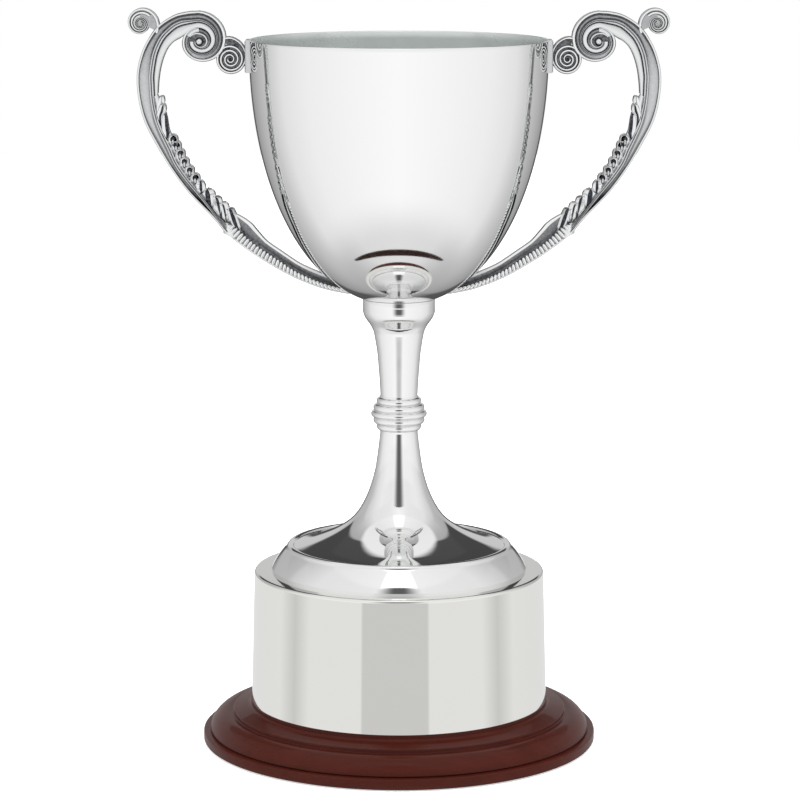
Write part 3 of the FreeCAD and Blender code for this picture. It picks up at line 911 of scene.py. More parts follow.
@dataclass
class Foot:
    """Spun foot: trumpet, dish, raised ridge and sloping skirt."""

    neck: float = 9.0
    edge_height: float = 1.3
    skirt_run: float = 7.4
    skirt_rise: float = 9.9
    skirt_crown: float = 0.35
    ridge_width: float = 3.6
    ridge_rise: float = 1.5
    dish_step: float = 0.7
    wall: float = 1.2
    top_thick: float = 2.0
    bore: float = 3.4
    trumpet: Shape = (
        (0, 1), (0.022, 0.855), (0.067, 0.644), (0.159, 0.430), (0.301, 0.253), (0.506, 0.134),
        (0.795, 0.038), (1, 0),
    )
    trumpet_steps: int = 90
    inside_every: int = 3
    arc_steps: int = 12
    segments: int = 192

    def build(self, metal: Paint) -> None:
        """Makes the foot.

        Args:
            metal: the foot's plate.
        """
        radius, base, top = extent(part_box("foot"))
        low = (radius, base + self.edge_height)
        high = (radius - self.skirt_run, low[1] + self.skirt_rise)
        dish = (high[0] - self.ridge_width, high[1] + self.dish_step)
        crest = (high[0] - self.ridge_width / 2, high[1] + self.ridge_rise)
        spread, rise = dish[0] - self.neck, top - dish[1]
        flare = [(self.neck + spread * u, dish[1] + rise * v) for u, v in self.trumpet]
        trumpet = along(flare, self.trumpet_steps)
        bulge = self.skirt_crown / math.hypot(self.skirt_run, self.skirt_rise)
        crown = (
            (low[0] + high[0]) / 2 + bulge * self.skirt_rise,
            (low[1] + high[1]) / 2 + bulge * self.skirt_run,
        )
        roof = top - self.top_thick
        under = [place for place in shifted(trumpet, -self.wall) if place[1] < roof]
        inside = radius - self.wall
        points = trumpet[:-1] + three_point_arc(dish, crest, high, self.arc_steps)
        points += three_point_arc(high, crown, low, self.arc_steps)[1:]
        points += [(radius, base), (inside, base), (inside, low[1])]
        points += [(high[0] - self.wall, high[1] - self.wall), *under[::-self.inside_every]]
        points += [(self.neck - self.wall, roof), (self.bore, roof), (self.bore, top)]
        piece = object_of(spun(points, self.segments), "foot_spinning", sharp=28)
        stand_for(piece, "foot", "stem_metal", metal)


@dataclass
class Band:
    """Plain metal cap over the plinth's drum."""

    taper: float = 1.7
    rounding: float = 1.6
    wall: float = 0.8
    bore: float = 3.4
    shoulder_steps: int = 10
    segments: int = 192

    def build(self, metal: Paint) -> None:
        """Makes the cap.

        Args:
            metal: the band's plate.
        """
        wide, base, top = extent(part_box("plinth_band"))
        narrow, roof = wide - self.taper, top - self.wall
        centre = (narrow - self.rounding, top - self.rounding)
        shoulder = arc_points(centre, self.rounding, 0, QUARTER, self.shoulder_steps)
        points = [(wide, base), *shoulder, (self.bore, top), (self.bore, roof)]
        points += [(narrow - self.wall, roof), (wide - self.wall, base)]
        stand_for(object_of(spun(points, self.segments), "band_cap"), "plinth_band", "band_metal", metal)


@dataclass
class Plinth:
    """Turned hardwood: slab, groove, ovolo, quirk, sloping ledge and drum."""

    slab_height: float = 5.0
    slab_round: float = 0.9
    groove: float = 0.6
    groove_lip: float = 0.18
    groove_depth: float = 0.8
    ovolo_in: float = 3.2
    ovolo_width: float = 9.9
    ovolo_height: float = 7.6
    quirk_width: float = 1.5
    quirk_height: float = 2.0
    quirk_round: float = 0.5
    quirk_end: float = 80.0
    ledge_rise: float = 2.1
    ledge_start: Point = (-1.2, 0.1)
    ledge_end: Shape = ((1.5, -0.6), (0.4, 0))
    ring_height: float = 1.9
    ring_step: float = 0.3
    drum_gap: float = 0.95
    drum_taper: float = 1.7
    recess: float = 11.0
    recess_height: float = 11.1
    bore: float = 3.4
    inside: float = 0.04
    round_steps: int = 8
    quirk_steps: int = 6
    ledge_steps: int = 8
    ovolo_steps: int = 24
    segments: int = 192

    def moulding(self, radius: float, base: float) -> Line:
        """The slab's rounded edge, the groove, the ovolo and the quirk.

        Args:
            radius: the slab's radius.
            base: the height of its underside.

        Returns:
            Places from the slab's underside up to the ledge.
        """
        edge, curve = self.slab_round, self.quirk_round
        slab_top = base + self.slab_height
        foot = slab_top + self.groove
        ovolo = radius - self.ovolo_in
        quirk = (ovolo - self.ovolo_width, foot + self.ovolo_height)
        ledge = (quirk[0] - self.quirk_width, quirk[1] + self.quirk_height)
        inner = ovolo - self.groove_depth
        reach = math.sqrt(0.5)
        crown = (quirk[0] + self.ovolo_width * reach, foot + self.ovolo_height * reach)
        points = [(radius - edge, base)]
        points += arc_points((radius - edge, base + edge), edge, -QUARTER, 0, self.round_steps)[1:]
        points += arc_points((radius - edge, slab_top - edge), edge, 0, QUARTER, self.round_steps)
        points += [(inner, slab_top), (inner, slab_top + self.groove_lip)]
        points += three_point_arc((ovolo, foot), crown, quirk, self.ovolo_steps)
        hollow = (ledge[0] + curve, quirk[1] + curve)
        points += arc_points(hollow, curve, -QUARTER, -HALF, self.quirk_steps)
        corner = (ledge[0] - curve, ledge[1] - curve)
        points += arc_points(corner, curve, 0, self.quirk_end, self.quirk_steps)
        return points + [(ledge[0] + self.ledge_start[0], ledge[1] + self.ledge_start[1])]

    def build(self, wood: Paint) -> None:
        """Makes the plinth inside its band.

        Args:
            wood: the lacquered wood.
        """
        radius, base, top = extent(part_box("wooden_plinth"))
        wide, band_low, _ = extent(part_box("plinth_band"))
        *points, start = self.moulding(radius - self.inside, base)
        ring, drum = wide + self.ring_step, wide - self.drum_gap
        rise = start[1] - self.ledge_start[1] + self.ledge_rise
        ledge = [start, *((ring + x, rise + z) for x, z in self.ledge_end)]
        roof = base + self.recess_height
        points = [(self.recess, base), *points, *along(ledge, self.ledge_steps)]
        points += [(ring, band_low - self.ring_height), (ring, band_low), (drum, band_low)]
        points += [(drum - self.drum_taper, top), (self.bore, top), (self.bore, roof), (self.recess, roof)]
        piece = object_of(spun(points, self.segments), "plinth_turning")
        stand_for(piece, "wooden_plinth", "plinth_wood", wood)


# Handle
@dataclass
class Handle:
    """One relief casting, modelled on the right and mirrored for the left.

    Lines are thousandths of the reach and height between the tail's tip and the volute's
    top. Radii, widths and half depths are in millimetres, angles in degrees.
    """

    tail_tip: Point = (23.4, 217.5)
    reach: Point = (0.1001, 0.135)
    outer: Shape = (
        (588, 222), (606, 238), (653, 280), (762, 365), (846, 450), (912, 534), (968, 618), (995, 702),
        (999, 784), (975, 857), (937, 912), (892, 953), (820, 986), (750, 998),
    )
    ridge: Shape = (
        (585, 240), (605, 257), (694, 343), (772, 415), (822, 470), (849, 517), (875, 558), (902, 606),
        (918, 649), (929, 704), (932, 751), (932, 781), (920, 838), (905, 872), (882, 905), (852, 930),
        (814, 952), (777, 962),
    )
    inner: Shape = ((901, 713), (897, 754), (888, 798), (872, 839), (851, 871), (821, 894), (792, 906))
    carved: Shape = (
        (901, 711), (876, 676), (859, 636), (843, 580), (802, 531), (759, 476), (708, 412), (652, 359),
        (590, 310), (557, 287),
    )
    leaves: tuple[tuple[Shape, Shape], ...] = (
        (
            ((893, 704), (905, 689), (913, 673), (915, 660), (910, 646), (907, 632)),
            ((893, 704), (881, 702), (879, 685), (885, 675), (898, 655), (905, 635)),
        ),
        (
            ((879, 683), (888, 672), (899, 652), (905, 634), (904, 617), (892, 590), (882, 569)),
            ((879, 683), (867, 671), (866, 652), (875, 640), (879, 621), (880, 599), (879, 572)),
        ),
        (
            ((866, 646), (875, 637), (878, 618), (878, 595), (873, 571), (864, 550)),
            ((866, 646), (856, 627), (851, 606), (846, 586), (842, 574), (852, 563), (862, 549)),
        ),
    )
    scales: Shape = ((834, 571), (819, 549), (801, 521), (781, 492), (757, 462), (731, 435), (701, 409))
    drops: tuple[Shape, ...] = (
        ((672, 381), (684, 373), (689, 359), (684, 341), (668, 324), (645, 305), (618, 284), (592, 261)),
        ((642, 355), (654, 346), (656, 333), (647, 315), (631, 297), (612, 278), (589, 261)),
        ((616, 333), (621, 321), (619, 305), (608, 286), (596, 272), (584, 259)),
        ((587, 311), (590, 298), (588, 282), (580, 268), (573, 258)),
        ((560, 293), (557, 284), (554, 272), (544, 256), (533, 241), (525, 233)),
    )
    underside: Shape = ((0, 5), (126, 24), (274, 67), (422, 130), (519, 180), (560, 204), (598, 225))
    flute_tops: Shape = (
        (20, 18), (99, 36), (154, 51), (209, 69), (269, 92), (332, 123), (387, 150), (444, 179),
        (485, 204), (508, 220), (533, 239), (560, 251),
    )
    trough: Shape = (
        (558, 288), (553, 276), (544, 260), (531, 244), (513, 229), (501, 215), (463, 191), (419, 169),
        (359, 138), (302, 109), (236, 80), (182, 59), (127, 44), (45, 24),
    )
    tail_top: Shape = (
        (558, 288), (545, 287), (519, 273), (482, 251), (440, 217), (397, 186), (338, 155), (279, 125),
        (238, 106), (180, 85), (108, 64), (40, 45),
    )
    root: tuple[Shape, Shape] = (
        ((599, 249), (600, 236), (600, 222)),
        ((556, 253), (549, 228), (545, 200)),
    )
    slit: Shape = ((579, 235), (566, 245))

    # Radii of the strands' sides at each quarter turn, from the top towards the bowl
    volute: Point = (94.0, 338.2)
    volute_rim: Row = (14.3, 12.6, 9.3, 8.0, 6.3)
    volute_cove: Row = (13.1, 10.8, 7.9, 6.4, 6.1, 5.3, 3.1, 2.3)
    volute_ridge: Row = (10.7, 9.0, 6.6, 5.75, 4.3, 4.2, 2.8, 1.9)
    volute_band: Row = (9.3, 8.0, 5.5, 4.8, 3.3, 3.2, 2.1, 1.4)
    volute_lead: float = -10.0
    core_start: float = 300.0
    band_lead: Point = (-30.0, -20.0)
    band_end: float = 270.0
    band_root: int = 9
    merge_radii: Point = (6.6, 4.3)
    merge_start: float = -62.0
    eye_radius: float = 0.3
    boss_radius: float = 2.3
    pit_radius: float = 0.5
    scroll: Point = (79.5, 329.9)
    scroll_line: Row = (
        10.0, 7.2, 6.3, 5.9, 6.1, 5.7, 4.9, 4.3, 4.1, 3.6, 3.0, 2.4, 2.1, 1.7, 1.3, 1.0,
    )
    scroll_half: float = 0.66
    scroll_lead: float = -14.0
    scroll_depth: float = 3.9
    scroll_eye: float = 0.2
    scroll_pit: float = 0.7
    curl: Point = (121.45, 346.6)
    curl_radius: float = 8.8
    curl_shrink: float = 0.45
    curl_end: float = 792.0

    rim_width: float = 1.3
    rim_depth: float = 4.2
    ridge_half: float = 1.1
    ridge_half_low: float = 0.5
    ridge_grows: float = 0.3
    ridge_depth: float = 4.4
    proud: float = 0.2
    cove_depth: float = 4.1
    # How strongly tarnish and painted shade show along the cove, by share of its length, then round the
    # volute, by angle.
    cove_shade_and_tarnish: Shape = (
        (0, 1.2), (0.17, 1.2), (0.23, 0.75), (0.4, 0.6), (0.5, 0.5), (0.66, 0.55), (0.76, 0.8),
        (0.85, 0.9), (1, 0.95),
    )
    volute_shade_and_tarnish: Shape = (
        (0, 0.95), (90, 0.9), (140, 0.6), (190, 0.35), (280, 0.4), (330, 0.9), (430, 0.95), (480, 0.4),
        (630, 0.3),
    )
    band_depth: float = 3.7
    carving_depth: float = 4.0
    carving_step: float = 0.1
    ground_depth: float = 2.2
    ground_inset: float = 0.35
    floor_depth: float = 1.9
    floor_inset: float = 0.7
    stations: int = 130
    band_stations: int = 50
    line_steps: int = 60
    leaf_steps: int = 30
    drop_steps: int = 36
    ground_steps: int = 80
    trough_steps: int = 90
    block_steps: int = 12
    oval_steps: int = 20
    coil_steps: int = 12
    spiral_step: float = 10.0

    scale_radius: float = 2.4
    scale_leg: float = 2.4
    scale_strand: float = 0.6
    scale_steps: int = 16
    # Drop below the arch's centre, half length and width, inset, and tarnish with painted shade of each
    # pebble
    scale_pebbles: tuple[Row, ...] = ((0.1, 2.2, 1.9, 0.9, 1.0), (1.4, 2.3, 1.2, 0.3, 0.25))
    drop_bulge: float = 5.0
    oval_foot: Point = (0.3, 6.3)
    oval_bulges: Shape = ((2.1, -3.0), (-2.1, -2.8))
    flute_pitch: float = 2.0
    flute_half: float = 0.92
    flute_depth: float = 3.0
    flute_lip: float = 1.1
    flute_ends: Point = (0.3, 0.15)
    flute_shape: Shape = ((0, 0.45), (0.12, 0.8), (0.3, 1), (0.7, 1), (0.88, 0.8), (1, 0.45))
    tail_depth: float = 3.0
    tail_floor: float = 0.5
    tail_ground: float = 0.65
    tail_edge: float = 0.8
    slit_size: Point = (1.3, 0.5)
    lug_height: Point = (323.6, 339.0)
    lug_half_width: float = 6.0
    lug_proud: float = 1.7
    lug_inside: float = 0.7
    lug_round: float = 0.9
    lug_dull: float = 0.35

    def placed(self, shape: Shape) -> Line:
        """Handle places from their thousandths of the reach and height."""
        (x, z), (wide, tall) = self.tail_tip, self.reach
        return [(x + wide * u, z + tall * v) for u, v in shape]

    def coil(self, centre: Point, radii: Row, start: float, end: float) -> Line:
        """Places round a scroll whose radius is known at each quarter turn.

        Args:
            centre: the scroll's eye.
            radii: the radius at the top and after each quarter turn towards the bowl.
            start: first angle.
            end: last angle.

        Returns:
            The places, evenly turned.
        """
        marks = [(QUARTER * i, radius) for i, radius in enumerate(radii)]
        angles = np.linspace(start, end, round((end - start) / self.spiral_step) + 1)
        found = read_off(along(marks, self.coil_steps * len(radii)), angles)
        return [
            (centre[0] - radius * math.sin(turn), centre[1] + radius * math.cos(turn))
            for radius, turn in zip(found, np.radians(angles))
        ]

    def wound(self, radii: Row, start: float, end: float) -> Line:
        """Places round the main volute."""
        return self.coil(self.volute, radii, start, end)

    def arched(self, line: Line, radii: Row, end: float) -> Line:
        """A line over the arch that runs on into the main volute.

        Args:
            line: places along the arch, up to the volute.
            radii: the radius in the volute at each quarter turn.
            end: the angle where the line ends.

        Returns:
            The places: even steps over the arch, then even turns.
        """
        turned = self.wound(radii, self.volute_lead, end)
        return along(line + turned[:2], self.stations)[:-1] + turned[1:]

    def curled(self, share: float, start: float, end: float) -> Line:
        """Places round the curl on the outside of the arch.

        Args:
            share: the share of the curl's radius.
            start: first angle.
            end: last angle.

        Returns:
            The places, evenly turned.
        """
        places = []
        for angle in np.linspace(start, end, round((end - start) / self.spiral_step) + 1):
            radius = share * self.curl_radius * self.curl_shrink ** (angle / FULL)
            turn = math.radians(HALF - angle)
            places.append((self.curl[0] + radius * math.cos(turn), self.curl[1] + radius * math.sin(turn)))
        return places

    def inner_sides(self, ridge_b: Line) -> tuple[Line, Line]:
        """Both sides of the inner band, which branches off the ridge above the leaves.

        Args:
            ridge_b: the ridge's inner side.

        Returns:
            The side along the ridge and the open side.
        """
        root = self.placed(self.ridge[self.band_root:])[0]
        start = min(range(self.stations), key=lambda i: math.dist(ridge_b[i], root))
        closed = along(ridge_b[start:self.stations], self.band_stations)[:-1]
        open_side = self.placed(self.inner) + self.wound(self.volute_cove[4:5], *self.band_lead)
        open_side = along(open_side, self.band_stations)[:-1]
        closed += self.wound(self.volute_band, self.volute_lead, self.band_end)
        open_side += self.wound(self.volute_cove[4:], self.volute_lead, self.band_end)
        return closed, open_side

    def arch_strands(self) -> list[Mesh]:
        """Rim, cove, ridge, inner band and floor, from the tail over the arch into the volute.

        Returns:
            The strands and the volute's eye.
        """
        long_end = QUARTER * (len(self.volute_cove) - 1)
        steps, top, floor = self.line_steps, self.ridge_depth, self.floor_depth
        outer = along(self.placed(self.outer), steps)
        rim_a = self.arched(self.placed(self.outer), self.volute_rim, FULL)
        rim_b = self.arched(shifted(outer, self.rim_width), self.volute_cove, long_end)
        widths = ((0, self.ridge_half_low), (self.ridge_grows, self.ridge_half))
        halves = np.array(read_off(widths, np.linspace(0, 1, steps)))
        line = along(self.placed(self.ridge), steps)
        ridge_a = self.arched(shifted(line, -halves), self.volute_ridge, long_end)
        ridge_b = self.arched(shifted(line, halves), self.volute_band, long_end)
        # Weights of the cove's tarnish and painted shade, over the arch and round the volute.
        shade_and_tarnish_weight = read_off(self.cove_shade_and_tarnish, np.linspace(0, 1, self.stations))
        shade_and_tarnish_weight += read_off(self.volute_shade_and_tarnish, np.linspace(0, long_end, len(rim_b) - self.stations))
        inside = along(self.placed(self.carved[::-1] + self.inner), steps)
        merge = [self.wound((radius,), self.merge_start, 0) for radius in self.merge_radii]
        core = [self.wound(row, self.core_start, long_end) for row in (self.volute_ridge, self.volute_band)]
        disc = [self.wound(row, 0, FULL) for row in (self.volute_rim, (self.eye_radius,))]
        return [
            strand(rim_a, rim_b[:len(rim_a)], Relief.BEAD, self.rim_depth),
            strand(rim_b, ridge_a, Relief.COVE, self.cove_depth, shade_and_tarnish_weight),
            strand(ridge_a, ridge_b, Relief.RIDGE, top),
            strand(*self.inner_sides(ridge_b), Relief.BAND, self.band_depth),
            strand(*merge, Relief.BAND, top - self.proud / 2),
            strand(*core, Relief.CORD, top + self.proud, 0.5),
            strand(shifted(outer, self.floor_inset), shifted(inside, -self.floor_inset), Relief.FLAT, floor),
            strand(*disc, Relief.FLAT, floor),
            boss(self.volute, self.boss_radius, top + self.proud, 0.1),
            boss(self.volute, self.pit_radius, top + self.pit_radius, 1.0),
        ]

    def scroll_strands(self) -> list[Mesh]:
        """The smaller scroll by the rim and the small curl on the outside of the arch.

        Returns:
            The strands and the scroll's eye.
        """
        last = QUARTER * (len(self.scroll_line) - 1)
        depth, floor, end = self.scroll_depth, self.floor_depth, self.curl_end
        rows = [tuple(radius + way * self.scroll_half for radius in self.scroll_line) for way in (1, -1)]
        cord = [self.coil(self.scroll, row, self.scroll_lead, last) for row in rows]
        whole = (self.scroll_line[:5], (self.scroll_eye,))
        disc = [self.coil(self.scroll, row, self.scroll_lead, FULL) for row in whole]
        made = [
            strand(*cord, Relief.CORD, depth),
            strand(*disc, Relief.FLAT, floor),
            boss(self.scroll, self.scroll_pit, depth, 0.9),
        ]
        # Each curl strand: sides as shares of the radius, turns, section, half depth and weight of tarnish
        # and painted shade.
        for outside, inside, start, stop, relief, high, shade_and_tarnish_weight in (
            (1, 0.82, -30, end, Relief.BEAD, depth, 0.7),
            (0.80, 0.60, 40, end, Relief.CORD, depth - 0.3, 0.5),
            (0.59, 0.42, 90, end, Relief.CORD, depth - 0.5, 0.5),
            (0.95, 0.03, -25, 335, Relief.FLAT, floor, 0.6),
        ):
            sides = (self.curled(share, start, stop) for share in (outside, inside))
            made.append(strand(*sides, relief, high, shade_and_tarnish_weight))
        return made

    def carving(self) -> list[Mesh]:
        """Leaves, scales and drops down the inside of the arch, on their plain ground.

        Returns:
            The strands and pebbles.
        """
        edge = shifted(along(self.placed(self.carved), self.ground_steps), self.ground_inset)
        back = along(self.placed(self.ridge[self.band_root::-1]), self.ground_steps)
        made = [strand(edge, back, Relief.GROUND, self.ground_depth)]
        for order, sides in enumerate(self.leaves):
            lines = (along(self.placed(side), self.leaf_steps) for side in sides)
            made.append(strand(*lines, Relief.HOLLOW, self.carving_depth + self.carving_step * order))
        *tops, last = (Vector(place) for place in self.placed(self.scales))
        for apex in tops:
            made += self.scale(apex)
        made.append(self.oval(last))
        for order, (border, after) in enumerate(zip(self.drops, self.drops[1:])):
            (x, z), (next_x, next_z) = border[0], after[0]
            bulge = ((x + next_x) / 2 - self.drop_bulge, (z + next_z) / 2 + self.drop_bulge)
            sides = (border, (border[0], bulge, after[0], *after[3:]))
            lines = (along(self.placed(side), self.drop_steps) for side in sides)
            made.append(strand(*lines, Relief.HOLLOW, self.carving_depth + self.carving_step * order))
        return made

    def scale(self, apex: Vector) -> list[Mesh]:
        """A sunken scale: an arch over a dark hollow with a rounded light fill below.

        Args:
            apex: the arch's top.

        Returns:
            The arch, its hollow and its fill.
        """
        centre, depth = apex - Vector((0, self.scale_radius)), self.carving_depth
        sides = []
        for radius in (self.scale_radius, self.scale_radius - self.scale_strand):
            bow = arc_points(tuple(centre), radius, HALF, 0, self.scale_steps)
            feet = [(x, z - self.scale_leg) for x, z in (bow[0], bow[-1])]
            sides.append([feet[0], *bow, feet[1]])
        up = Vector((0, 1))
        made = [strand(*sides, Relief.CORD, depth + self.proud, 0.4)]
        for drop, length, width, inset, dark in self.scale_pebbles:
            made.append(pebble(tuple(centre - up * drop), up, length, width, depth - inset, dark))
        return made

    def oval(self, apex: Vector) -> Mesh:
        """The closed scale between the arched ones and the drops.

        Args:
            apex: its top.

        Returns:
            The closed mesh.
        """
        foot = tuple(apex - Vector(self.oval_foot))
        middles = ((apex.x + x, apex.y + z) for x, z in self.oval_bulges)
        sides = (three_point_arc(tuple(apex), middle, foot, self.oval_steps) for middle in middles)
        return strand(*sides, Relief.HOLLOW, self.carving_depth)

    def flutes(self, feet: Line, tops: Line) -> list[Mesh]:
        """The row of short flutes on the tail.

        Args:
            feet: the lower end of each flute.
            tops: its upper end.

        Returns:
            The flutes.
        """
        made = []
        for foot, top in zip(feet, tops):
            way = (Vector(top) - Vector(foot)).normalized()
            over = Vector((-way.y, way.x)) * self.flute_half
            start = Vector(foot) - way * self.flute_ends[0]
            end = Vector(top) + way * self.flute_ends[1]
            sides = (
                [tuple(start.lerp(end, share) + over * sign * wide) for share, wide in self.flute_shape]
                for sign in (1, -1)
            )
            made.append(strand(*sides, Relief.FLUTE, self.flute_depth))
        return made

    def tail(self) -> list[Mesh]:
        """The tail: a smooth hollow over a row of short flutes, and the block at its root.

        Returns:
            The strands, the flutes and the slit in the block.
        """
        under, depth = self.placed(self.underside), self.tail_depth
        length = sum(math.dist(a, b) for a, b in zip(under, under[1:]))
        count = 2 * int(length / self.flute_pitch) + 1
        line, crown = along(under, count), along(self.placed(self.flute_tops), count)
        low = shifted(line, self.flute_lip)
        back = along(self.placed(self.tail_top[::-1]), self.ground_steps)
        hollow = (along(self.placed(side), self.trough_steps) for side in (self.trough, self.tail_top))
        block = (along(self.placed(side), self.block_steps) for side in self.root)
        start, end = (Vector(place) for place in self.placed(self.slit))
        return [
            strand(along(under, self.ground_steps), back, Relief.FLAT, self.tail_floor * depth),
            strand(*hollow, Relief.TROUGH, depth),
            strand(line, crown, Relief.GROUND, self.tail_ground * depth, 4.0),
            strand(line, low, Relief.BAND, self.tail_edge * depth, 0.3),
            strand(*block, Relief.BAND, depth, 0.8),
            *self.flutes(low[1::2], crown[1::2]),
            pebble(tuple((start + end) / 2), (end - start).normalized(), *self.slit_size, depth + 0.1, 1.0),
        ]

    def lug(self) -> Mesh:
        """The pad that is soldered to the bowl beside the rim.

        Returns:
            The closed mesh.
        """
        bm = bmesh.new()
        shade_and_tarnish = bm.verts.layers.float.new(SHADE_AND_TARNISH)
        bmesh.ops.create_cube(bm, size=1)
        wall = extent(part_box("bowl"))[0]
        low, high = self.lug_height
        inside, thick = wall - self.lug_inside, self.lug_proud + self.lug_inside
        bmesh.ops.scale(bm, vec=(thick, 2 * self.lug_half_width, high - low), verts=bm.verts)
        bmesh.ops.translate(bm, vec=(inside + thick / 2, 0, (low + high) / 2), verts=bm.verts)
        outer = [edge for edge in bm.edges if all(vert.co.x > wall for vert in edge.verts)]
        bmesh.ops.bevel(
            bm, geom=outer, offset=self.lug_round, segments=4, profile=0.5, affect="EDGES", material=-1,
        )
        for vert in bm.verts:
            vert[shade_and_tarnish] = self.lug_dull
        return bm

    def build(self, metal: Paint) -> None:
        """Makes both handles.

        Args:
            metal: the plate of the castings.
        """
        parts = self.arch_strands() + self.scroll_strands() + self.carving() + self.tail() + [self.lug()]
        whole = joined(parts)
        bmesh.ops.scale(whole, vec=(MM, MM, MM), verts=whole.verts)
        for side in Side:
            bm = whole.copy()
            if side is Side.LEFT:
                bmesh.ops.scale(bm, vec=(side.value, 1, 1), verts=bm.verts)
                bmesh.ops.reverse_faces(bm, faces=bm.faces)
            word = side.name.lower()
            piece = object_of(bm, f"handle_casting_{word}", sharp=50)
            stand_for(piece, f"handle_{word}", "cast_metal", metal)
        whole.free()


# Studio
@dataclass
class Studio:
    """Pale floor, soft surroundings and the camera, in metres.

    Greys of the card and the tent go by the heading in degrees from the front. The tent is
    a ground grey with belts over it, each with the heights where it fades in.
    """

    floor_size: float = 6.0
    card_radius: float = 0.172
    card_heights: Point = (-0.060, 0.078)
    card_turn: float = -2.4
    card_slope: float = 0.34
    card_greys: Shape = (
        (0, .67), (20, .67), (21, .87), (57, .87), (69.5, .66), (84, .86), (150, .80), (180, .5),
    )
    strip_half: float = 0.085
    strip_core: float = 0.15
    strip_distance: float = 0.2
    strip_heights: Point = (0.03, 0.28)
    strip_open: Point = (0.195, 0.205)
    strip_slope: float = 0.5
    strip_greys: Shape = ((0, .6), (0.33, .66), (0.44, .5), (0.49, .12), (1, .12))
    shade_radius: float = 0.161
    shade_centre: float = 0.015
    shade_turn: float = 75.0
    shade_width: float = 0.024
    shade_steps: int = 49
    shade_slope: float = 0.3
    shade_lift: float = 0.001
    shade_colour: Colour = (0.022, 0.012, 0.010, 1)
    tent_ground: Shape = ((0, .84), (60, .8), (105, .58), (180, .35))
    tent_belts: tuple[tuple[float, float, Shape], ...] = (
        (-62, -40, (
            (0, 1.1), (34, 1.05), (75, .98), (102, .87), (120, .66), (140, .5), (158, .35), (161, .3),
            (164, .1), (180, .08),
        )),
        (1, 5, (
            (0, 1.0), (60, .98), (91, .86), (105, .74), (123, .56), (155, .5), (165, .62), (180, .62),
        )),
        (15, 19, (
            (0, .98), (33, .92), (70, .95), (89, .87), (117, .68), (123, .56), (148, .45), (151, .07),
            (180, .06),
        )),
        (32, 37, ((0, 1.05), (33, .92), (89, .87), (123, .6), (148, .45), (151, .08), (180, .07))),
        (49, 54, ((0, 1.3), (21, 1.3), (23, 1.0), (90, .9), (180, .95))),
    )
    lens: float = 146.25
    sensor: float = 36.0
    distance: float = 1.56
    elevation: float = 9.73
    target: tuple[float, float, float] = (0.0005, 0.0, 0.16672)
    lamp_target: tuple[float, float, float] = (0.0, 0.0, 0.2)

    def camera(self) -> None:
        """Sets the camera at the photograph's viewing angle."""
        data = bpy.data.cameras.new("camera")
        data.lens = self.lens
        data.sensor_width = self.sensor
        camera = bpy.data.objects.new("camera", data)
        bpy.context.scene.collection.objects.link(camera)
        up = math.radians(self.elevation)
        back = Vector((0, -math.cos(up), math.sin(up)))
        camera.location = Vector(self.target) + back * self.distance
        camera.rotation_euler = (-back).to_track_quat("-Z", "Y").to_euler()
        bpy.context.scene.camera = camera

    def floor(self) -> None:
        """Lays the pale floor, which polished metal doesn't mirror."""
        bm = bmesh.new()
        bmesh.ops.create_grid(bm, x_segments=1, y_segments=1, size=self.floor_size / 2)
        piece = object_of(bm, "studio_floor")
        coat = Coat("pale_floor")
        coat.set(Base_Color=(0.9, 0.9, 0.9, 1), Roughness=0.9, Specular_IOR_Level=0.0)
        coat.set(Emission_Color=(1, 1, 1, 1), Emission_Strength=0.55)
        dress(piece, coat.data)
        piece.visible_glossy = False

    def light(self) -> None:
        """Adds the overhead softbox and two side boxes."""
        for name, place, size, power in (
            ("top_box", (0.0, -0.3, 1.6), 1.6, 22.0),
            ("left_box", (-1.4, -0.7, 0.9), 0.9, 7.0),
            ("right_box", (1.4, -0.7, 0.9), 0.9, 7.0),
        ):
            data = bpy.data.lights.new(name, "AREA")
            data.shape = "SQUARE"
            data.size = size
            data.energy = power
            lamp = bpy.data.objects.new(name, data)
            lamp.location = place
            way = Vector(self.lamp_target) - Vector(place)
            lamp.rotation_euler = way.to_track_quat("-Z", "Y").to_euler()
            lamp.visible_glossy = False
            bpy.context.scene.collection.objects.link(lamp)

    def mirrored(self, piece: Piece, coat: Coat) -> None:
        """Dresses a stage piece that only polished metal mirrors.

        Args:
            piece: the piece.
            coat: its material.
        """
        dress(piece, coat.data)
        piece.visible_camera = False
        piece.visible_diffuse = False
        piece.visible_shadow = False

    def card(self) -> None:
        """Stands a ring of greys round the plinth."""
        low, high = self.card_heights
        radius = self.card_radius
        bm = bmesh.new()
        bmesh.ops.create_cone(
            bm, cap_ends=False, segments=96, radius1=radius, radius2=radius, depth=high - low,
        )
        bmesh.ops.translate(bm, vec=(0, 0, (low + high) / 2), verts=bm.verts)
        piece = object_of(bm, "studio_card")
        piece.rotation_euler.z = math.radians(self.card_turn)
        coat = Coat("grey_card")
        coat.set(
            Base_Color=(0, 0, 0, 1), Specular_IOR_Level=0.0, Emission_Strength=1.0,
            Emission_Color=coat.greys(coat.heading(coat.place()), self.card_greys, HALF),
            Alpha=coat.slope_mask("LESS_THAN", self.card_slope),
        )
        self.mirrored(piece, coat)

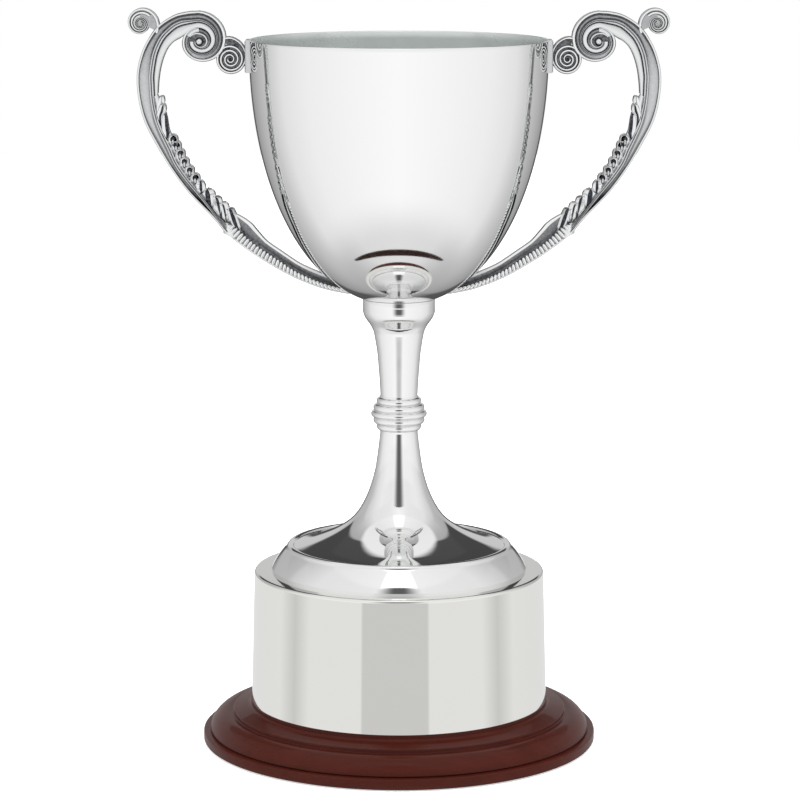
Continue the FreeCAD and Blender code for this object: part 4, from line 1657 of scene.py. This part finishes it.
    def strip(self) -> None:
        """Stands a soft dark strip in front, for the stem."""
        low, high = self.strip_heights
        bm = bmesh.new()
        bmesh.ops.create_grid(bm, x_segments=1, y_segments=1, size=0.5)
        bmesh.ops.scale(bm, vec=(2 * self.strip_half, high - low, 1), verts=bm.verts)
        bmesh.ops.rotate(bm, matrix=Matrix.Rotation(math.radians(90), 3, "X"), verts=bm.verts)
        bmesh.ops.translate(bm, vec=(0, -self.strip_distance, (low + high) / 2), verts=bm.verts)
        coat = Coat("dark_strip")
        x, _, z = coat.split(coat.place())
        core = self.strip_core * self.strip_half
        aside = coat.calc("ABSOLUTE", x)
        soft = coat.between(aside, self.strip_half, core, interpolation_type="SMOOTHSTEP")
        limit = coat.between(z, *self.strip_open, To_Min=self.strip_slope, To_Max=0.0)
        coat.set(
            Base_Color=(0, 0, 0, 1), Specular_IOR_Level=0.0, Emission_Strength=1.0,
            Emission_Color=coat.greys(coat.between(z, low, high), self.strip_greys),
            Alpha=coat.calc("MULTIPLY", soft, coat.slope_mask("LESS_THAN", limit)),
        )
        self.mirrored(object_of(bm, "studio_strip"), coat)

    def crescent(self) -> None:
        """Lays the plinth's brown shade in front of it, for the bottom of the bowl."""
        bm = bmesh.new()
        rows = []
        for share in np.linspace(-1, 1, self.shade_steps):
            turn = math.radians(self.shade_turn * share)
            way = Vector((math.sin(turn), -math.cos(turn), 0))
            centre = Vector((0, self.shade_centre, self.shade_lift))
            width = self.shade_width * (1 - share * share) ** 0.5
            rows.append([bm.verts.new(centre + way * (self.shade_radius - step)) for step in (width, 0)])
        rows[0].pop()
        rows[-1].pop()
        for near, far in zip(rows, rows[1:]):
            bm.faces.new((*near, *reversed(far)))
        coat = Coat("brown_shade")
        coat.set(
            Base_Color=self.shade_colour, Roughness=0.9, Specular_IOR_Level=0.0,
            Alpha=coat.slope_mask("GREATER_THAN", self.shade_slope),
        )
        self.mirrored(object_of(bm, "studio_shade"), coat)

    def surroundings(self) -> None:
        """Paints the tent round the cup: greys by heading from the front and by height."""
        world = bpy.data.worlds.new("tent")
        bpy.context.scene.world = world
        world.use_nodes = True
        world.node_tree.nodes.clear()
        nodes = Nodes(world.node_tree)
        where = nodes.place("Generated")
        heading = nodes.heading(where)
        height = nodes.calc("DIVIDE", nodes.calc("ARCSINE", nodes.split(where)[2]), math.pi / 2)
        view = nodes.greys(heading, self.tent_ground, HALF)
        for start, end, greys in self.tent_belts:
            span = (start / QUARTER, end / QUARTER)
            share = nodes.between(height, *span, interpolation_type="SMOOTHSTEP")
            view = nodes.mixed(share, view, nodes.greys(heading, greys, HALF))
        seen = nodes.node("Background", Color=view)
        plain = nodes.node("Background", Color=(1, 1, 1, 1), Strength=1.0)
        either = nodes.node("MixShader", Fac=nodes.node("LightPath").outputs["Is Camera Ray"])
        nodes.put(seen.outputs[0], either.inputs[1])
        nodes.put(plain.outputs[0], either.inputs[2])
        nodes.node("OutputWorld", Surface=either.outputs[0])

    def build(self) -> None:
        """Sets up everything round the cup."""
        bpy.context.scene.view_settings.view_transform = "Standard"
        self.camera()
        self.floor()
        self.card()
        self.strip()
        self.crescent()
        self.light()
        self.surroundings()


def main() -> None:
    """Builds and dresses the cup, then the studio."""
    logging.basicConfig(level=logging.INFO, format="%(name)s %(message)s")
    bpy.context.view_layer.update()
    groups = Groups()
    bright = PlateFinish("bowl_bright_plate").made(groups)
    satin = PlateFinish(
        "bowl_satin_plate", colour=(0.66, 0.695, 0.685, 1), rough_low=0.22, rough_high=0.3,
        line_strength=0.25, metallic=0.85,
    ).made(groups)
    stem_metal = PlateFinish("stem_bright_plate").made(groups)
    band_metal = PlateFinish("band_bright_plate", colour=(0.85, 0.845, 0.82, 1)).made(groups)
    bowl = Bowl()
    bowl.build(bright, satin)
    Stem().build(bowl, stem_metal)
    Knop().build(stem_metal)
    Foot().build(stem_metal)
    Band().build(band_metal)
    Plinth().build(WoodFinish("mahogany").made(groups))
    Handle().build(CastFinish("cast_plate").made(groups))
    dress(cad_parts["baize_pad"], FeltFinish("green_baize").made(groups))
    zinc = ZincFinish("zinc_plate").made(groups)
    for node in ("tie_bolt", "tie_washer", "tie_nut"):
        dress(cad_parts[node], zinc)
    Studio().build()


if __name__ == "__main__":
    main()
